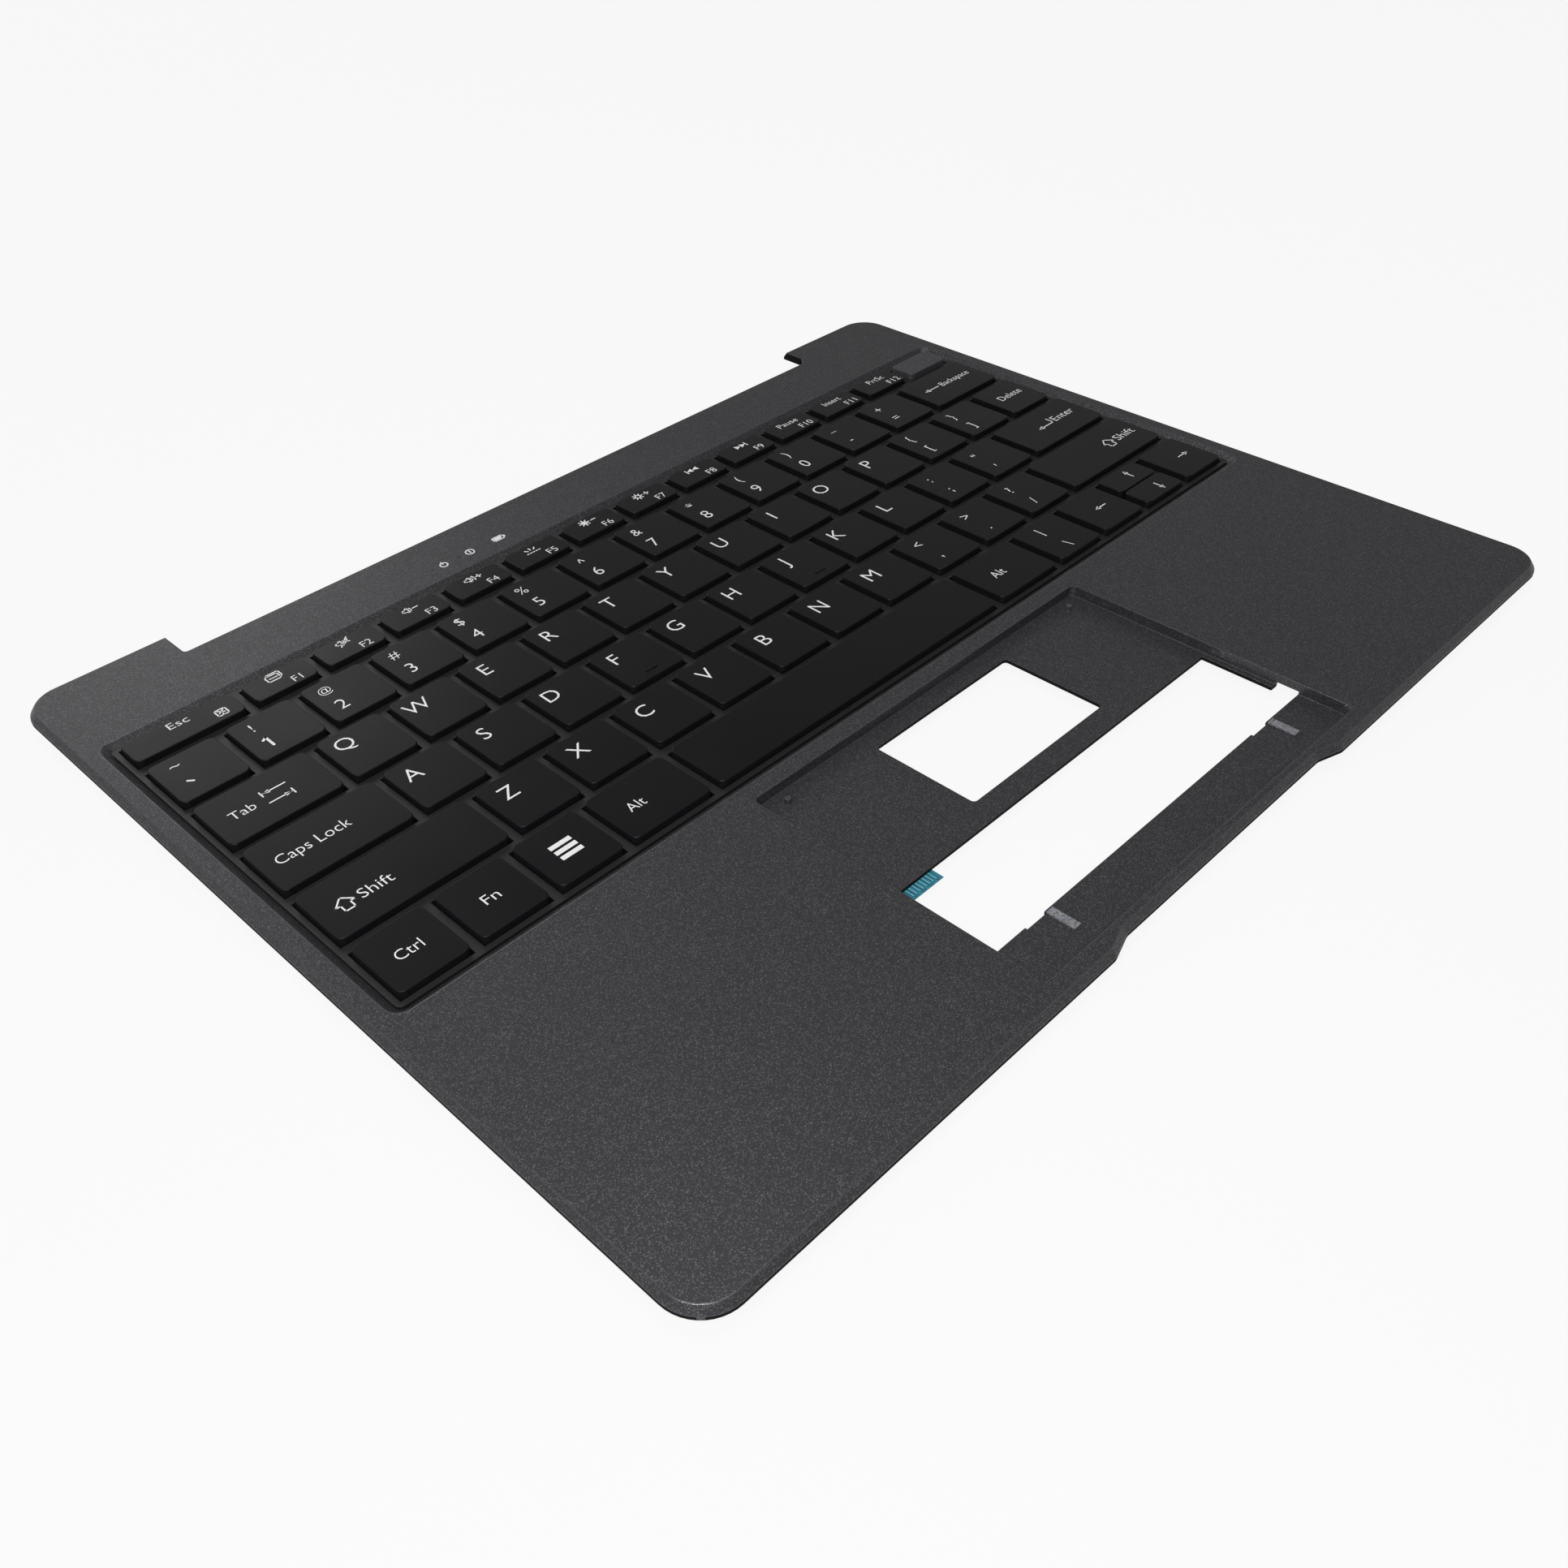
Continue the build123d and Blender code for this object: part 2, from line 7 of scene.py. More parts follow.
import bmesh
import bpy
from bpy.props import FloatProperty, FloatVectorProperty, PointerProperty
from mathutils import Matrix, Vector


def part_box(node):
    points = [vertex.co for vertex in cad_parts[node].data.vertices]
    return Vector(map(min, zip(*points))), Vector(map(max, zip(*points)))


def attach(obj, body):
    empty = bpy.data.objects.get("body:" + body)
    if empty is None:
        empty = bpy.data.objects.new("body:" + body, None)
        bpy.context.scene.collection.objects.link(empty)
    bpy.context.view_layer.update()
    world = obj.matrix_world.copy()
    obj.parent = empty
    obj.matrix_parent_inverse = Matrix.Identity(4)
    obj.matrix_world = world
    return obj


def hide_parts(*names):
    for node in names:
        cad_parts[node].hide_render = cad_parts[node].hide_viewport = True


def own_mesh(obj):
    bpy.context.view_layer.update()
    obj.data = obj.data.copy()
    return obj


bl_info = {
    "name": "Laptop Top Case",
    "version": (1, 0, 0),
    "blender": (4, 5, 0),
    "location": "View3D > Sidebar > Top Case",
    "description": "Dresses a laptop top case and its keyboard, piece by piece",
    "category": "Object",
}

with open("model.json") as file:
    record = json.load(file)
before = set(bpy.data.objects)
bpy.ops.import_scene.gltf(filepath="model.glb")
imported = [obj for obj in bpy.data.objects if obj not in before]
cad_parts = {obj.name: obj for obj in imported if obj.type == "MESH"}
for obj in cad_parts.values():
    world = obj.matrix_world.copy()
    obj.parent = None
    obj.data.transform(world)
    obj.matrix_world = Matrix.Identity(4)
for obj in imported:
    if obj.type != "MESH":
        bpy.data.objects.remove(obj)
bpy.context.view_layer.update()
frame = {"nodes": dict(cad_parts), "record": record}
NODES = frame["nodes"]
MM = 0.001

FUNCTION_KEYS = ["esc"] + ["f%d" % number for number in range(1, 13)]
NUMBER_KEYS = "grave 1 2 3 4 5 6 7 8 9 0 minus equals backspace".split()
KEY_TRAVEL = {joint["child"]: joint["range_m"][1] for joint in frame["record"]["behaviour"]["joints"]}
MOVING_KEYS = [name for name in NODES if name.startswith("key_") and name != "key_grille"]


def linear(code):
    """Turns an sRGB hex colour to linear red, green and blue."""
    shares = [int(code[i:i + 2], 16) / 255 for i in (1, 3, 5)]
    return tuple(s / 12.92 if s <= 0.04045 else ((s + 0.055) / 1.055) ** 2.4 for s in shares)


def colour(name, description, code):
    return FloatVectorProperty(name=name, description=description, default=linear(code), subtype="COLOR",
                               min=0, max=1)


def power(name, description, watts):
    return FloatProperty(name=name, description=description, default=watts, unit="POWER")


def length(name, description, millimetres):
    return FloatProperty(name=name, description=description, default=millimetres * MM, unit="LENGTH")


class CoverLook(bpy.types.PropertyGroup):
    """Sizes and colours of the painted cover and the grille."""

    paint: colour("Paint", "Ground colour of the metallic paint", "#272629")
    # Lighter than the paint: a painted highlight line along the rounded edges, on paint that wear has made
    # smoother.
    rubbed_and_highlight: colour("Rubbed paint", "Ground colour of the paint where edges are rubbed bright", "#3C3B40")
    flake: colour("Flake", "Colour of the bright flakes in the paint", "#737277")
    flake_spacing: length("Flake spacing", "Distance between flakes in the paint", 0.16)
    edge_radius: length("Edge radius", "Roundness that the moulding and its paint give every edge", 0.18)
    shoulder: length("Shoulder", "Roundness of the front edge of the touchpad recess", 1.2)
    # Also laid on the wall of the rim, where its dark colour is painted shade.
    bare: colour("Bare plastic", "Colour of the unpainted underside and rim", "#141416")
    # Near-black: the lattice's own grey deepened as painted shade between the keys.
    grille: colour("Grille", "Colour of the lattice between the keys", "#0D0D0F")
    mark: colour("Mark", "Colour of the printed status marks", "#EDEDEF")
    light_hole: colour("Light hole", "Colour of the small lenses beside the marks", "#1A1A1C")


class KeyLook(bpy.types.PropertyGroup):
    """Sizes and colours of the keycaps."""

    coat: colour("Coat", "Colour of the coated caps", "#101012")
    button: colour("Button", "Ground colour of the painted power button", "#333336")
    height: length("Height", "Height of a cap from its foot to its top", 2.5)
    draft: length("Draft", "How far each wall leans in from foot to top", 0.22)
    coat_grow: length("Coat growth", "How far the coat makes each wall stand out", 0.2)
    corner_radius: length("Corner radius", "Radius of a cap's upright corners", 1.6)
    edge_radius: length("Edge radius", "Radius of a cap's top edge", 0.22)
    wall: length("Wall", "Thickness of a cap's walls", 1.0)
    roof: length("Roof", "Thickness of a cap's top", 1.0)
    pitch: length("Pitch", "Distance from key to key", 19.0)
    gap: length("Gap", "Distance between the feet of two neighbours", 2.7)
    bar_length: length("Bar length", "Length of the raised bars on the two homing keys", 3.4)
    bar_width: length("Bar width", "Width of a homing bar", 0.6)
    bar_height: length("Bar height", "How far a homing bar stands proud", 0.2)
    bar_inset: length("Bar inset", "Distance of a homing bar from the front edge of the cap's top", 2.6)


class LegendLook(bpy.types.PropertyGroup):
    """Sizes and colours of the printing on the keys."""

    ink: colour("Ink", "Colour of the printed legends", "#E9E9EA")
    film: length("Film", "Thickness of the printed ink", 0.03)
    inset: length("Inset", "Distance from a cap's foot to the lines that the printing is placed from", 0.25)
    letter: length("Letter", "Height of the letters", 4.2)
    digit: length("Digit", "Height of the digits", 3.8)
    sign: length("Sign", "Height of the signs above the digits", 3.1)
    word: length("Word", "Height of the capitals of most words", 2.7)
    small: length("Small", "Height of the function numbers", 2.35)
    stroke: length("Stroke", "Width of the lines of the drawn signs", 0.34)
    weight: FloatProperty(name="Weight", default=-0.008,
                          description="How much bolder than the plain font, as a share of its size")


class LayerLook(bpy.types.PropertyGroup):
    """Colours of the switch layers under the keys."""

    film: colour("Film", "Colour of the printed switch film", "#2E7C93")
    contact: colour("Contact", "Colour of the contact fingers", "#69AEBB")
    steel: colour("Steel", "Colour of the support plate", "#B9BBBD")
    backlight: colour("Backlight", "Colour of the light panel's backing", "#151516")
    rubber: colour("Rubber", "Colour of the domes", "#CFCFC9")
    hinge: colour("Hinge", "Colour of the scissor links", "#D9D8D2")
    fold_clearance: length("Fold clearance", "Room left over the folded links when a key is down", 0.05)
    tape: colour("Tape", "Colour of the adhesive strips", "#58595D")
    finger_width: length("Finger width", "Width of a contact finger", 0.32)
    finger_length: length("Finger length", "Length of a contact finger", 4.2)
    finger_pitch: length("Finger pitch", "Distance from one contact finger to the next", 0.98)
    finger_inset: length("Finger inset", "Distance of the fingers from the front edge of the tail", 0.6)
    tail_left: length("Tail left", "Place of the left edge of the film's tail", -53.35)
    outline: colour("Outline", "Colour of the dark print round the fingers", "#06404F")
    outline_width: length("Outline width", "Width of the dark print round a finger", 0.6)


class StageLook(bpy.types.PropertyGroup):
    """The floor, the lamps and the camera."""

    floor: colour("Floor", "Colour of the floor", "#BABABA")
    room: colour("Room", "Colour of the light from all round", "#FFFFFF")
    wall_strength: FloatProperty(name="Wall strength", default=0.4,
                                 description="Strength of the light from the room's walls")
    ceiling_strength: FloatProperty(name="Ceiling strength", default=0.07,
                                    description="Strength of the light from the ceiling")
    white_share: FloatProperty(name="White share", default=0.9, subtype="FACTOR",
                               description="How far the floor shows as plain white instead of lit paper")
    room_white: FloatProperty(name="Room white", default=0.95,
                              description="Brightness of the room where the camera looks past the floor")
    rear_power: power("Rear power", "Power of the soft box behind the case", 2.8)
    top_power: power("Top power", "Power of the soft box overhead", 4.0)
    side_power: power("Side power", "Power of the soft box at the left", 6.8)
    near_power: power("Near power", "Power of the small lamp beside the camera", 0.5)
    lens: FloatProperty(name="Lens", description="Focal length of the camera in millimetres", default=33.818)
    shift: FloatVectorProperty(name="Shift", description="Shift of the frame off the lens axis", size=2,
                               default=(0.0448, 0.0298))
    eye: FloatVectorProperty(name="Eye", description="Place of the camera", subtype="TRANSLATION",
                             default=(-0.21798, -0.19514, 0.20025))
    turn: FloatVectorProperty(name="Turn", description="Turn of the camera", subtype="EULER",
                              default=(math.radians(48.5645), math.radians(1.6381), math.radians(-44.6897)))


# Materials

def add_node(tree, kind, inputs=None, **settings):
    """Adds a node, sets its options, and sets or links its inputs."""
    node = tree.nodes.new(kind)
    for option, value in settings.items():
        setattr(node, option, value)
    for socket, value in (inputs or {}).items():
        if isinstance(value, bpy.types.NodeSocket):
            tree.links.new(value, node.inputs[socket])
        else:
            node.inputs[socket].default_value = value
    return node


def start_material(name, **sockets):
    """An empty material with one surface shader, whose plain values are set on its own sockets."""
    material = bpy.data.materials.new(name)
    material.use_nodes = True
    tree = material.node_tree
    tree.nodes.clear()
    values = {socket.replace("_", " "): value for socket, value in sockets.items()}
    shader = add_node(tree, "ShaderNodeBsdfPrincipled", values)
    add_node(tree, "ShaderNodeOutputMaterial", {"Surface": shader.outputs["BSDF"]})
    return material, tree, shader


def rgba(value):
    return (value[0], value[1], value[2], 1.0)


def metallic_paint(name, ground, flake, spacing, rough_low=0.4, rough_high=0.54):
    # Metallic paint sprayed on ABS: a dark satin ground with sparse bright flakes, each a little warmer or
    # cooler than the next, so it sparkles close by and reads as even grey from afar. Real flakes are finer
    # than 0.1 mm, and are drawn coarser to show.
    material, tree, shader = start_material(name, IOR=1.46)
    place = add_node(tree, "ShaderNodeTexCoord").outputs["Object"]
    cells = add_node(tree, "ShaderNodeTexVoronoi", {"Vector": place, "Scale": 1 / spacing})
    pick = add_node(tree, "ShaderNodeSeparateColor", {"Color": cells.outputs["Color"]})
    bright = add_node(tree, "ShaderNodeMapRange",
                      {"Value": pick.outputs["Red"], "From Min": 0.76, "From Max": 1.0})
    cloud = add_node(tree, "ShaderNodeTexNoise", {"Vector": place, "Scale": 1 / (25 * MM), "Detail": 2.0})
    tone = add_node(tree, "ShaderNodeMapRange", {"Value": cloud.outputs["Fac"], "To Min": 0.7, "To Max": 1.0})
    share = add_node(tree, "ShaderNodeMath", {0: bright.outputs["Result"], 1: tone.outputs["Result"]},
                     operation="MULTIPLY")
    hue = add_node(tree, "ShaderNodeCombineColor",
                   {"Red": pick.outputs["Green"], "Green": 0.5, "Blue": pick.outputs["Blue"]})
    tint = add_node(tree, "ShaderNodeMix", {"Factor": 0.06, "A": rgba(flake), "B": hue.outputs["Color"]},
                    data_type="RGBA")
    mix = add_node(tree, "ShaderNodeMix",
                   {"Factor": share.outputs["Value"], "A": rgba(ground), "B": tint.outputs[2]},
                   data_type="RGBA")
    tree.links.new(mix.outputs[2], shader.inputs["Base Color"])
    tree.links.new(share.outputs["Value"], shader.inputs["Metallic"])
    rough = add_node(tree, "ShaderNodeMapRange",
                     {"Value": pick.outputs["Green"], "To Min": rough_low, "To Max": rough_high})
    tree.links.new(rough.outputs["Result"], shader.inputs["Roughness"])
    bump = add_node(tree, "ShaderNodeBump",
                    {"Height": cells.outputs["Distance"], "Strength": 0.2, "Distance": 0.03 * MM})
    tree.links.new(bump.outputs["Normal"], shader.inputs["Normal"])
    return material


def moulded_abs(name, ground, grain, rough, gloss=0.5):
    # Moulded ABS with a fine spark-eroded texture: dull, with a soft sheen that the grain breaks up.
    material, tree, shader = start_material(name, IOR=1.53, Specular_IOR_Level=gloss)
    place = add_node(tree, "ShaderNodeTexCoord").outputs["Object"]
    noise = add_node(tree, "ShaderNodeTexNoise", {"Vector": place, "Scale": 1 / grain, "Detail": 3.0})
    lighter = tuple(min(1.0, 1.35 * share) for share in ground)
    mix = add_node(tree, "ShaderNodeMix",
                   {"Factor": noise.outputs["Fac"], "A": rgba(ground), "B": rgba(lighter)},
                   data_type="RGBA")
    tree.links.new(mix.outputs[2], shader.inputs["Base Color"])
    span = add_node(tree, "ShaderNodeMapRange",
                    {"Value": noise.outputs["Fac"], "To Min": rough - 0.06, "To Max": rough + 0.06})
    tree.links.new(span.outputs["Result"], shader.inputs["Roughness"])
    bump = add_node(tree, "ShaderNodeBump",
                    {"Height": noise.outputs["Fac"], "Strength": 0.2, "Distance": 0.02 * MM})
    tree.links.new(bump.outputs["Normal"], shader.inputs["Normal"])
    return material


def soft_touch_coat(look):
    # Polyurethane soft-touch coat on ABS caps: nearly black, even satin, with a very fine dry grain
    # and fingertips' polish, which shows as broad patches that are a little smoother.
    material, tree, shader = start_material("Soft-touch coat on ABS", IOR=1.49, Specular_IOR_Level=0.16)
    place = add_node(tree, "ShaderNodeTexCoord").outputs["Object"]
    grain = add_node(tree, "ShaderNodeTexNoise", {"Vector": place, "Scale": 1 / (0.3 * MM), "Detail": 2.0})
    lighter = tuple(1.25 * share for share in look.coat)
    mix = add_node(tree, "ShaderNodeMix",
                   {"Factor": grain.outputs["Fac"], "A": rgba(look.coat), "B": rgba(lighter)},
                   data_type="RGBA")
    tree.links.new(mix.outputs[2], shader.inputs["Base Color"])
    polish = add_node(tree, "ShaderNodeTexNoise", {"Vector": place, "Scale": 1 / (14 * MM), "Detail": 1.0})
    rough = add_node(tree, "ShaderNodeMapRange",
                     {"Value": polish.outputs["Fac"], "From Min": 0.3, "From Max": 0.7,
                      "To Min": 0.31, "To Max": 0.37})
    tree.links.new(rough.outputs["Result"], shader.inputs["Roughness"])
    bump = add_node(tree, "ShaderNodeBump",
                    {"Height": grain.outputs["Fac"], "Strength": 0.15, "Distance": 0.02 * MM})
    tree.links.new(bump.outputs["Normal"], shader.inputs["Normal"])
    return material


def printed_ink(name, ink):
    # Pad-printed ink: flat, opaque and slightly uneven where the pad lifted.
    material, tree, shader = start_material(name, Roughness=0.55, IOR=1.5)
    place = add_node(tree, "ShaderNodeTexCoord").outputs["Object"]
    noise = add_node(tree, "ShaderNodeTexNoise", {"Vector": place, "Scale": 1 / (0.5 * MM), "Detail": 2.0})
    duller = tuple(0.82 * share for share in ink)
    mix = add_node(tree, "ShaderNodeMix", {"Factor": noise.outputs["Fac"], "A": rgba(ink), "B": rgba(duller)},
                   data_type="RGBA")
    tree.links.new(mix.outputs[2], shader.inputs["Base Color"])
    return material


def printed_film(look):
    # Printed polyester film: smooth and glossy, with a slight ripple and faint printed traces along it.
    material, tree, shader = start_material("Printed polyester film", Roughness=0.25, IOR=1.64)
    place = add_node(tree, "ShaderNodeTexCoord").outputs["Object"]
    trace = add_node(tree, "ShaderNodeTexWave", {"Vector": place, "Scale": 1 / (7.2 * MM), "Distortion": 0.0},
                     bands_direction="X")
    darker = tuple(0.7 * share for share in look.film)
    mix = add_node(tree, "ShaderNodeMix",
                   {"Factor": trace.outputs["Fac"], "A": rgba(look.film), "B": rgba(darker)},
                   data_type="RGBA")
    tree.links.new(mix.outputs[2], shader.inputs["Base Color"])
    ripple = add_node(tree, "ShaderNodeTexNoise", {"Vector": place, "Scale": 1 / (6 * MM)})
    bump = add_node(tree, "ShaderNodeBump",
                    {"Height": ripple.outputs["Fac"], "Strength": 0.1, "Distance": 0.1 * MM})
    tree.links.new(bump.outputs["Normal"], shader.inputs["Normal"])
    return material


def rolled_steel(look):
    # Cold-rolled steel sheet: bright grey metal with fine rolling lines along its length.
    material, tree, shader = start_material("Cold-rolled steel", Metallic=1.0)
    place = add_node(tree, "ShaderNodeTexCoord").outputs["Object"]
    along = add_node(tree, "ShaderNodeMapping",
                     {"Vector": place, "Scale": (1 / (12 * MM), 1 / (0.3 * MM), 1.0)})
    lines = add_node(tree, "ShaderNodeTexNoise",
                     {"Vector": along.outputs["Vector"], "Scale": 1.0, "Detail": 3.0})
    darker = tuple(0.8 * share for share in look.steel)
    mix = add_node(tree, "ShaderNodeMix",
                   {"Factor": lines.outputs["Fac"], "A": rgba(look.steel), "B": rgba(darker)},
                   data_type="RGBA")
    tree.links.new(mix.outputs[2], shader.inputs["Base Color"])
    rough = add_node(tree, "ShaderNodeMapRange",
                     {"Value": lines.outputs["Fac"], "To Min": 0.28, "To Max": 0.45})
    tree.links.new(rough.outputs["Result"], shader.inputs["Roughness"])
    return material


def adhesive_tape(look):
    # Creped adhesive tape: dull grey, with fine uneven wrinkles about 0.5 mm apart; their crests are painted
    # lighter, a painted highlight over the light that the bump itself catches.
    material, tree, shader = start_material("Creped adhesive tape", Roughness=0.75, IOR=1.47)
    place = add_node(tree, "ShaderNodeTexCoord").outputs["Object"]
    crepe = add_node(tree, "ShaderNodeTexNoise", {"Vector": place, "Scale": 1 / (0.5 * MM), "Detail": 3.0})
    share = add_node(tree, "ShaderNodeMapRange",
                     {"Value": crepe.outputs["Fac"], "From Min": 0.35, "From Max": 0.65})
    # Lighter on the crests of the crepe: a painted highlight.
    lighter = tuple(min(1.0, 2.4 * share) for share in look.tape)
    mix = add_node(tree, "ShaderNodeMix",
                   {"Factor": share.outputs["Result"], "A": rgba(look.tape), "B": rgba(lighter)},
                   data_type="RGBA")
    tree.links.new(mix.outputs[2], shader.inputs["Base Color"])
    bump = add_node(tree, "ShaderNodeBump",
                    {"Height": crepe.outputs["Fac"], "Strength": 0.4, "Distance": 0.08 * MM})
    tree.links.new(bump.outputs["Normal"], shader.inputs["Normal"])
    return material


def studio_floor(look):
    # Matt white paper: it shows nearly white to the eye and in reflections, and still takes the shadow.
    material, tree, shader = start_material("Matt white paper", Base_Color=rgba(look.floor), Roughness=0.9)
    paths = add_node(tree, "ShaderNodeLightPath")
    seen = add_node(tree, "ShaderNodeMath",
                    {0: paths.outputs["Is Camera Ray"], 1: paths.outputs["Is Glossy Ray"]},
                    operation="MAXIMUM")
    seen = add_node(tree, "ShaderNodeMath",
                    {0: seen.outputs["Value"], 1: paths.outputs["Is Transmission Ray"]}, operation="MAXIMUM")
    share = add_node(tree, "ShaderNodeMath", {0: seen.outputs["Value"], 1: look.white_share},
                     operation="MULTIPLY")
    white = add_node(tree, "ShaderNodeEmission", {"Color": (1, 1, 1, 1), "Strength": 1.0})
    both = add_node(tree, "ShaderNodeMixShader", {0: share.outputs["Value"], 1: shader.outputs["BSDF"],
                                                  2: white.outputs["Emission"]})
    output = next(node for node in tree.nodes if node.bl_idname == "ShaderNodeOutputMaterial")
    tree.links.new(both.outputs["Shader"], output.inputs["Surface"])
    return material


# Modelling steps that several pieces share

def deselect():
    bpy.ops.object.select_all(action="DESELECT")


def settle(piece):
    """Puts a piece's place, turn and size into its mesh."""
    deselect()
    piece.select_set(True)
    bpy.context.view_layer.objects.active = piece
    bpy.ops.object.transform_apply(location=True, rotation=True, scale=True)


def paint(piece, *materials):
    piece.data.materials.clear()
    for material in materials:
        piece.data.materials.append(material)


def pick_faces(piece, test):
    """Selects, in edit mode, the faces whose middle and normal pass the test."""
    bpy.ops.mesh.select_mode(type="FACE")
    bpy.ops.mesh.select_all(action="DESELECT")
    mesh = bmesh.from_edit_mesh(piece.data)
    for face in mesh.faces:
        face.select_set(bool(test(face.calc_center_median(), face.normal)))
    bmesh.update_edit_mesh(piece.data)


def pick_edges(piece, test):
    """Selects, in edit mode, the edges whose two ends pass the test."""
    bpy.ops.mesh.select_mode(type="EDGE")
    bpy.ops.mesh.select_all(action="DESELECT")
    mesh = bmesh.from_edit_mesh(piece.data)
    for edge in mesh.edges:
        edge.select_set(bool(test(edge.verts[0].co, edge.verts[1].co)))
    bmesh.update_edit_mesh(piece.data)


def smooth(piece, degrees):
    """Smooths the rounded edges of the active piece and keeps its large faces flat to the eye."""
    bpy.ops.object.shade_smooth_by_angle(angle=math.radians(degrees))
    bpy.ops.object.modifier_add(type="WEIGHTED_NORMAL")
    weights = piece.modifiers[-1]
    weights.keep_sharp = True
    bpy.ops.object.modifier_apply(modifier=weights.name)


def join(pieces, name):
    """Joins pieces into the first one and names it."""
    deselect()
    for piece in pieces:
        piece.select_set(True)
    bpy.context.view_layer.objects.active = pieces[0]
    if len(pieces) > 1:
        bpy.ops.object.join()
    pieces[0].name = name
    pieces[0].data.name = name
    return pieces[0]


def copy_to(source, name, x, y, z):
    """A copy of a modelled piece, with its own mesh, moved to a place."""
    deselect()
    source.select_set(True)
    bpy.context.view_layer.objects.active = source
    bpy.ops.object.duplicate(linked=False)
    piece = bpy.context.object
    piece.name = name
    piece.data.name = name
    piece.location = (x, y, z)
    settle(piece)
    return piece


def split_node(node):
    """Copies a CAD node and splits the copy into its separate parts."""
    whole = bpy.data.objects.new(node + "_copy", NODES[node].data.copy())
    bpy.context.scene.collection.objects.link(whole)
    deselect()
    whole.select_set(True)
    bpy.context.view_layer.objects.active = whole
    bpy.ops.object.mode_set(mode="EDIT")
    bpy.ops.mesh.select_all(action="SELECT")
    bpy.ops.mesh.remove_doubles(threshold=0.001 * MM)
    bpy.ops.mesh.separate(type="LOOSE")
    bpy.ops.object.mode_set(mode="OBJECT")
    return list(bpy.context.selected_objects)


def remove(piece):
    mesh = piece.data
    bpy.data.objects.remove(piece)
    bpy.data.meshes.remove(mesh)


# Keys

class KeyPlace:
    """The rectangle of a cap's foot and the body that carries it."""

    def __init__(self, name, body, left, right, front, rear):
        self.name = name
        self.body = body
        self.left = left
        self.right = right
        self.front = front
        self.rear = rear


def moving_places():
    places = []
    for name in MOVING_KEYS + ["power_button"]:
        low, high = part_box(name)
        places.append(KeyPlace(name, name, low.x, high.x, low.y, high.y))
    return places


def upper_places():
    """The two rows that share one node: the function keys and, in front of them, the number keys."""
    look = bpy.context.scene.key_look
    low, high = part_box("upper_row_keys")
    button_low, button_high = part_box("power_button")
    unit = look.pitch - look.gap
    long_key = high.x - low.x - 13 * look.pitch
    places = []
    left = low.x
    for name in FUNCTION_KEYS:
        width = long_key if name == "esc" else unit
        places.append(KeyPlace(name, "case", left, left + width, button_low.y, button_high.y))
        left += width + look.gap
    left = low.x
    for name in NUMBER_KEYS:
        width = long_key if name == "backspace" else unit
        places.append(KeyPlace(name, "case", left, left + width, low.y, low.y + unit))
        left += width + look.gap
    return places


def model_keycap(width, depth, look):
    """A hollow cap about the origin, its foot at z 0: drafted walls, round corners and a soft top edge."""
    deselect()
    bpy.ops.mesh.primitive_cube_add(size=1, location=(0, 0, look.height / 2),
                                    scale=(width, depth, look.height))
    cap = bpy.context.object
    settle(cap)
    bpy.ops.object.mode_set(mode="EDIT")
    pick_faces(cap, lambda middle, normal: normal.z > 0.5)
    lean = ((width - 2 * look.draft) / width, (depth - 2 * look.draft) / depth, 1)
    bpy.ops.transform.resize(value=lean, center_override=(0, 0, look.height))
    pick_edges(cap, lambda a, b: abs(a.z - b.z) > look.height / 2)
    bpy.ops.mesh.bevel(offset=look.corner_radius, segments=4, affect="EDGES")
    level = look.height - 0.01 * MM
    pick_edges(cap, lambda a, b: a.z > level and b.z > level)
    bpy.ops.mesh.bevel(offset=look.edge_radius, segments=3, affect="EDGES")
    pick_faces(cap, lambda middle, normal: normal.z < -0.5)
    bpy.ops.mesh.inset(thickness=look.wall + look.draft)
    bpy.ops.mesh.extrude_region_move(TRANSFORM_OT_translate={"value": (0, 0, look.height - look.roof)})
    bpy.ops.object.mode_set(mode="OBJECT")
    smooth(cap, 35)
    return cap


def model_homing_bar(place, look, top):
    """A short raised bar with round ends near the front of a cap."""
    deselect()
    middle = ((place.left + place.right) / 2, place.front + look.draft + look.bar_inset, top)
    bpy.ops.mesh.primitive_cube_add(size=1, location=middle,
                                    scale=(look.bar_length, look.bar_width, 2 * look.bar_height))
    bar = bpy.context.object
    settle(bar)
    bpy.ops.object.mode_set(mode="EDIT")
    bpy.ops.mesh.select_all(action="SELECT")
    bpy.ops.mesh.bevel(offset=0.45 * look.bar_height, segments=2, affect="EDGES")
    bpy.ops.object.mode_set(mode="OBJECT")
    smooth(bar, 50)
    return bar


class TOPCASE_OT_keycaps(bpy.types.Operator):
    """Model the coated keycaps and the painted power button"""

    bl_idname = "topcase.keycaps"
    bl_label = "Keycaps"

    def execute(self, context):
        look = context.scene.key_look
        paint_look = context.scene.cover_look
        coat = soft_touch_coat(look)
        button = metallic_paint("Metallic paint on the button", look.button, paint_look.flake,
                                paint_look.flake_spacing)
        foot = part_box("upper_row_keys")[0].z
        models = {}
        upper = []
        for place in moving_places() + upper_places():
            size = (round(place.right - place.left, 6), round(place.rear - place.front, 6))
            if size not in models:
                models[size] = model_keycap(size[0] + 2 * look.coat_grow, size[1] + 2 * look.coat_grow, look)
            cap = copy_to(models[size], "cap_" + place.name, (place.left + place.right) / 2,
                          (place.front + place.rear) / 2, foot)
            if place.name in ("key_f", "key_j"):
                bar = model_homing_bar(place, look, foot + look.height)
                cap = join([cap, bar], cap.name)
            paint(cap, button if place.name == "power_button" else coat)
            if place.body == "case":
                upper.append(cap)
                continue
            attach(cap, place.body)
            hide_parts(place.name)
        row = join(upper, "upper_row_caps")
        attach(row, "case")
        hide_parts("upper_row_keys")
        for model in models.values():
            remove(model)
        return {"FINISHED"}


# Legends. Each entry holds a key, its words or its sign, and where the middle stands: millimetres from the
# left line and from the rear line of the cap.

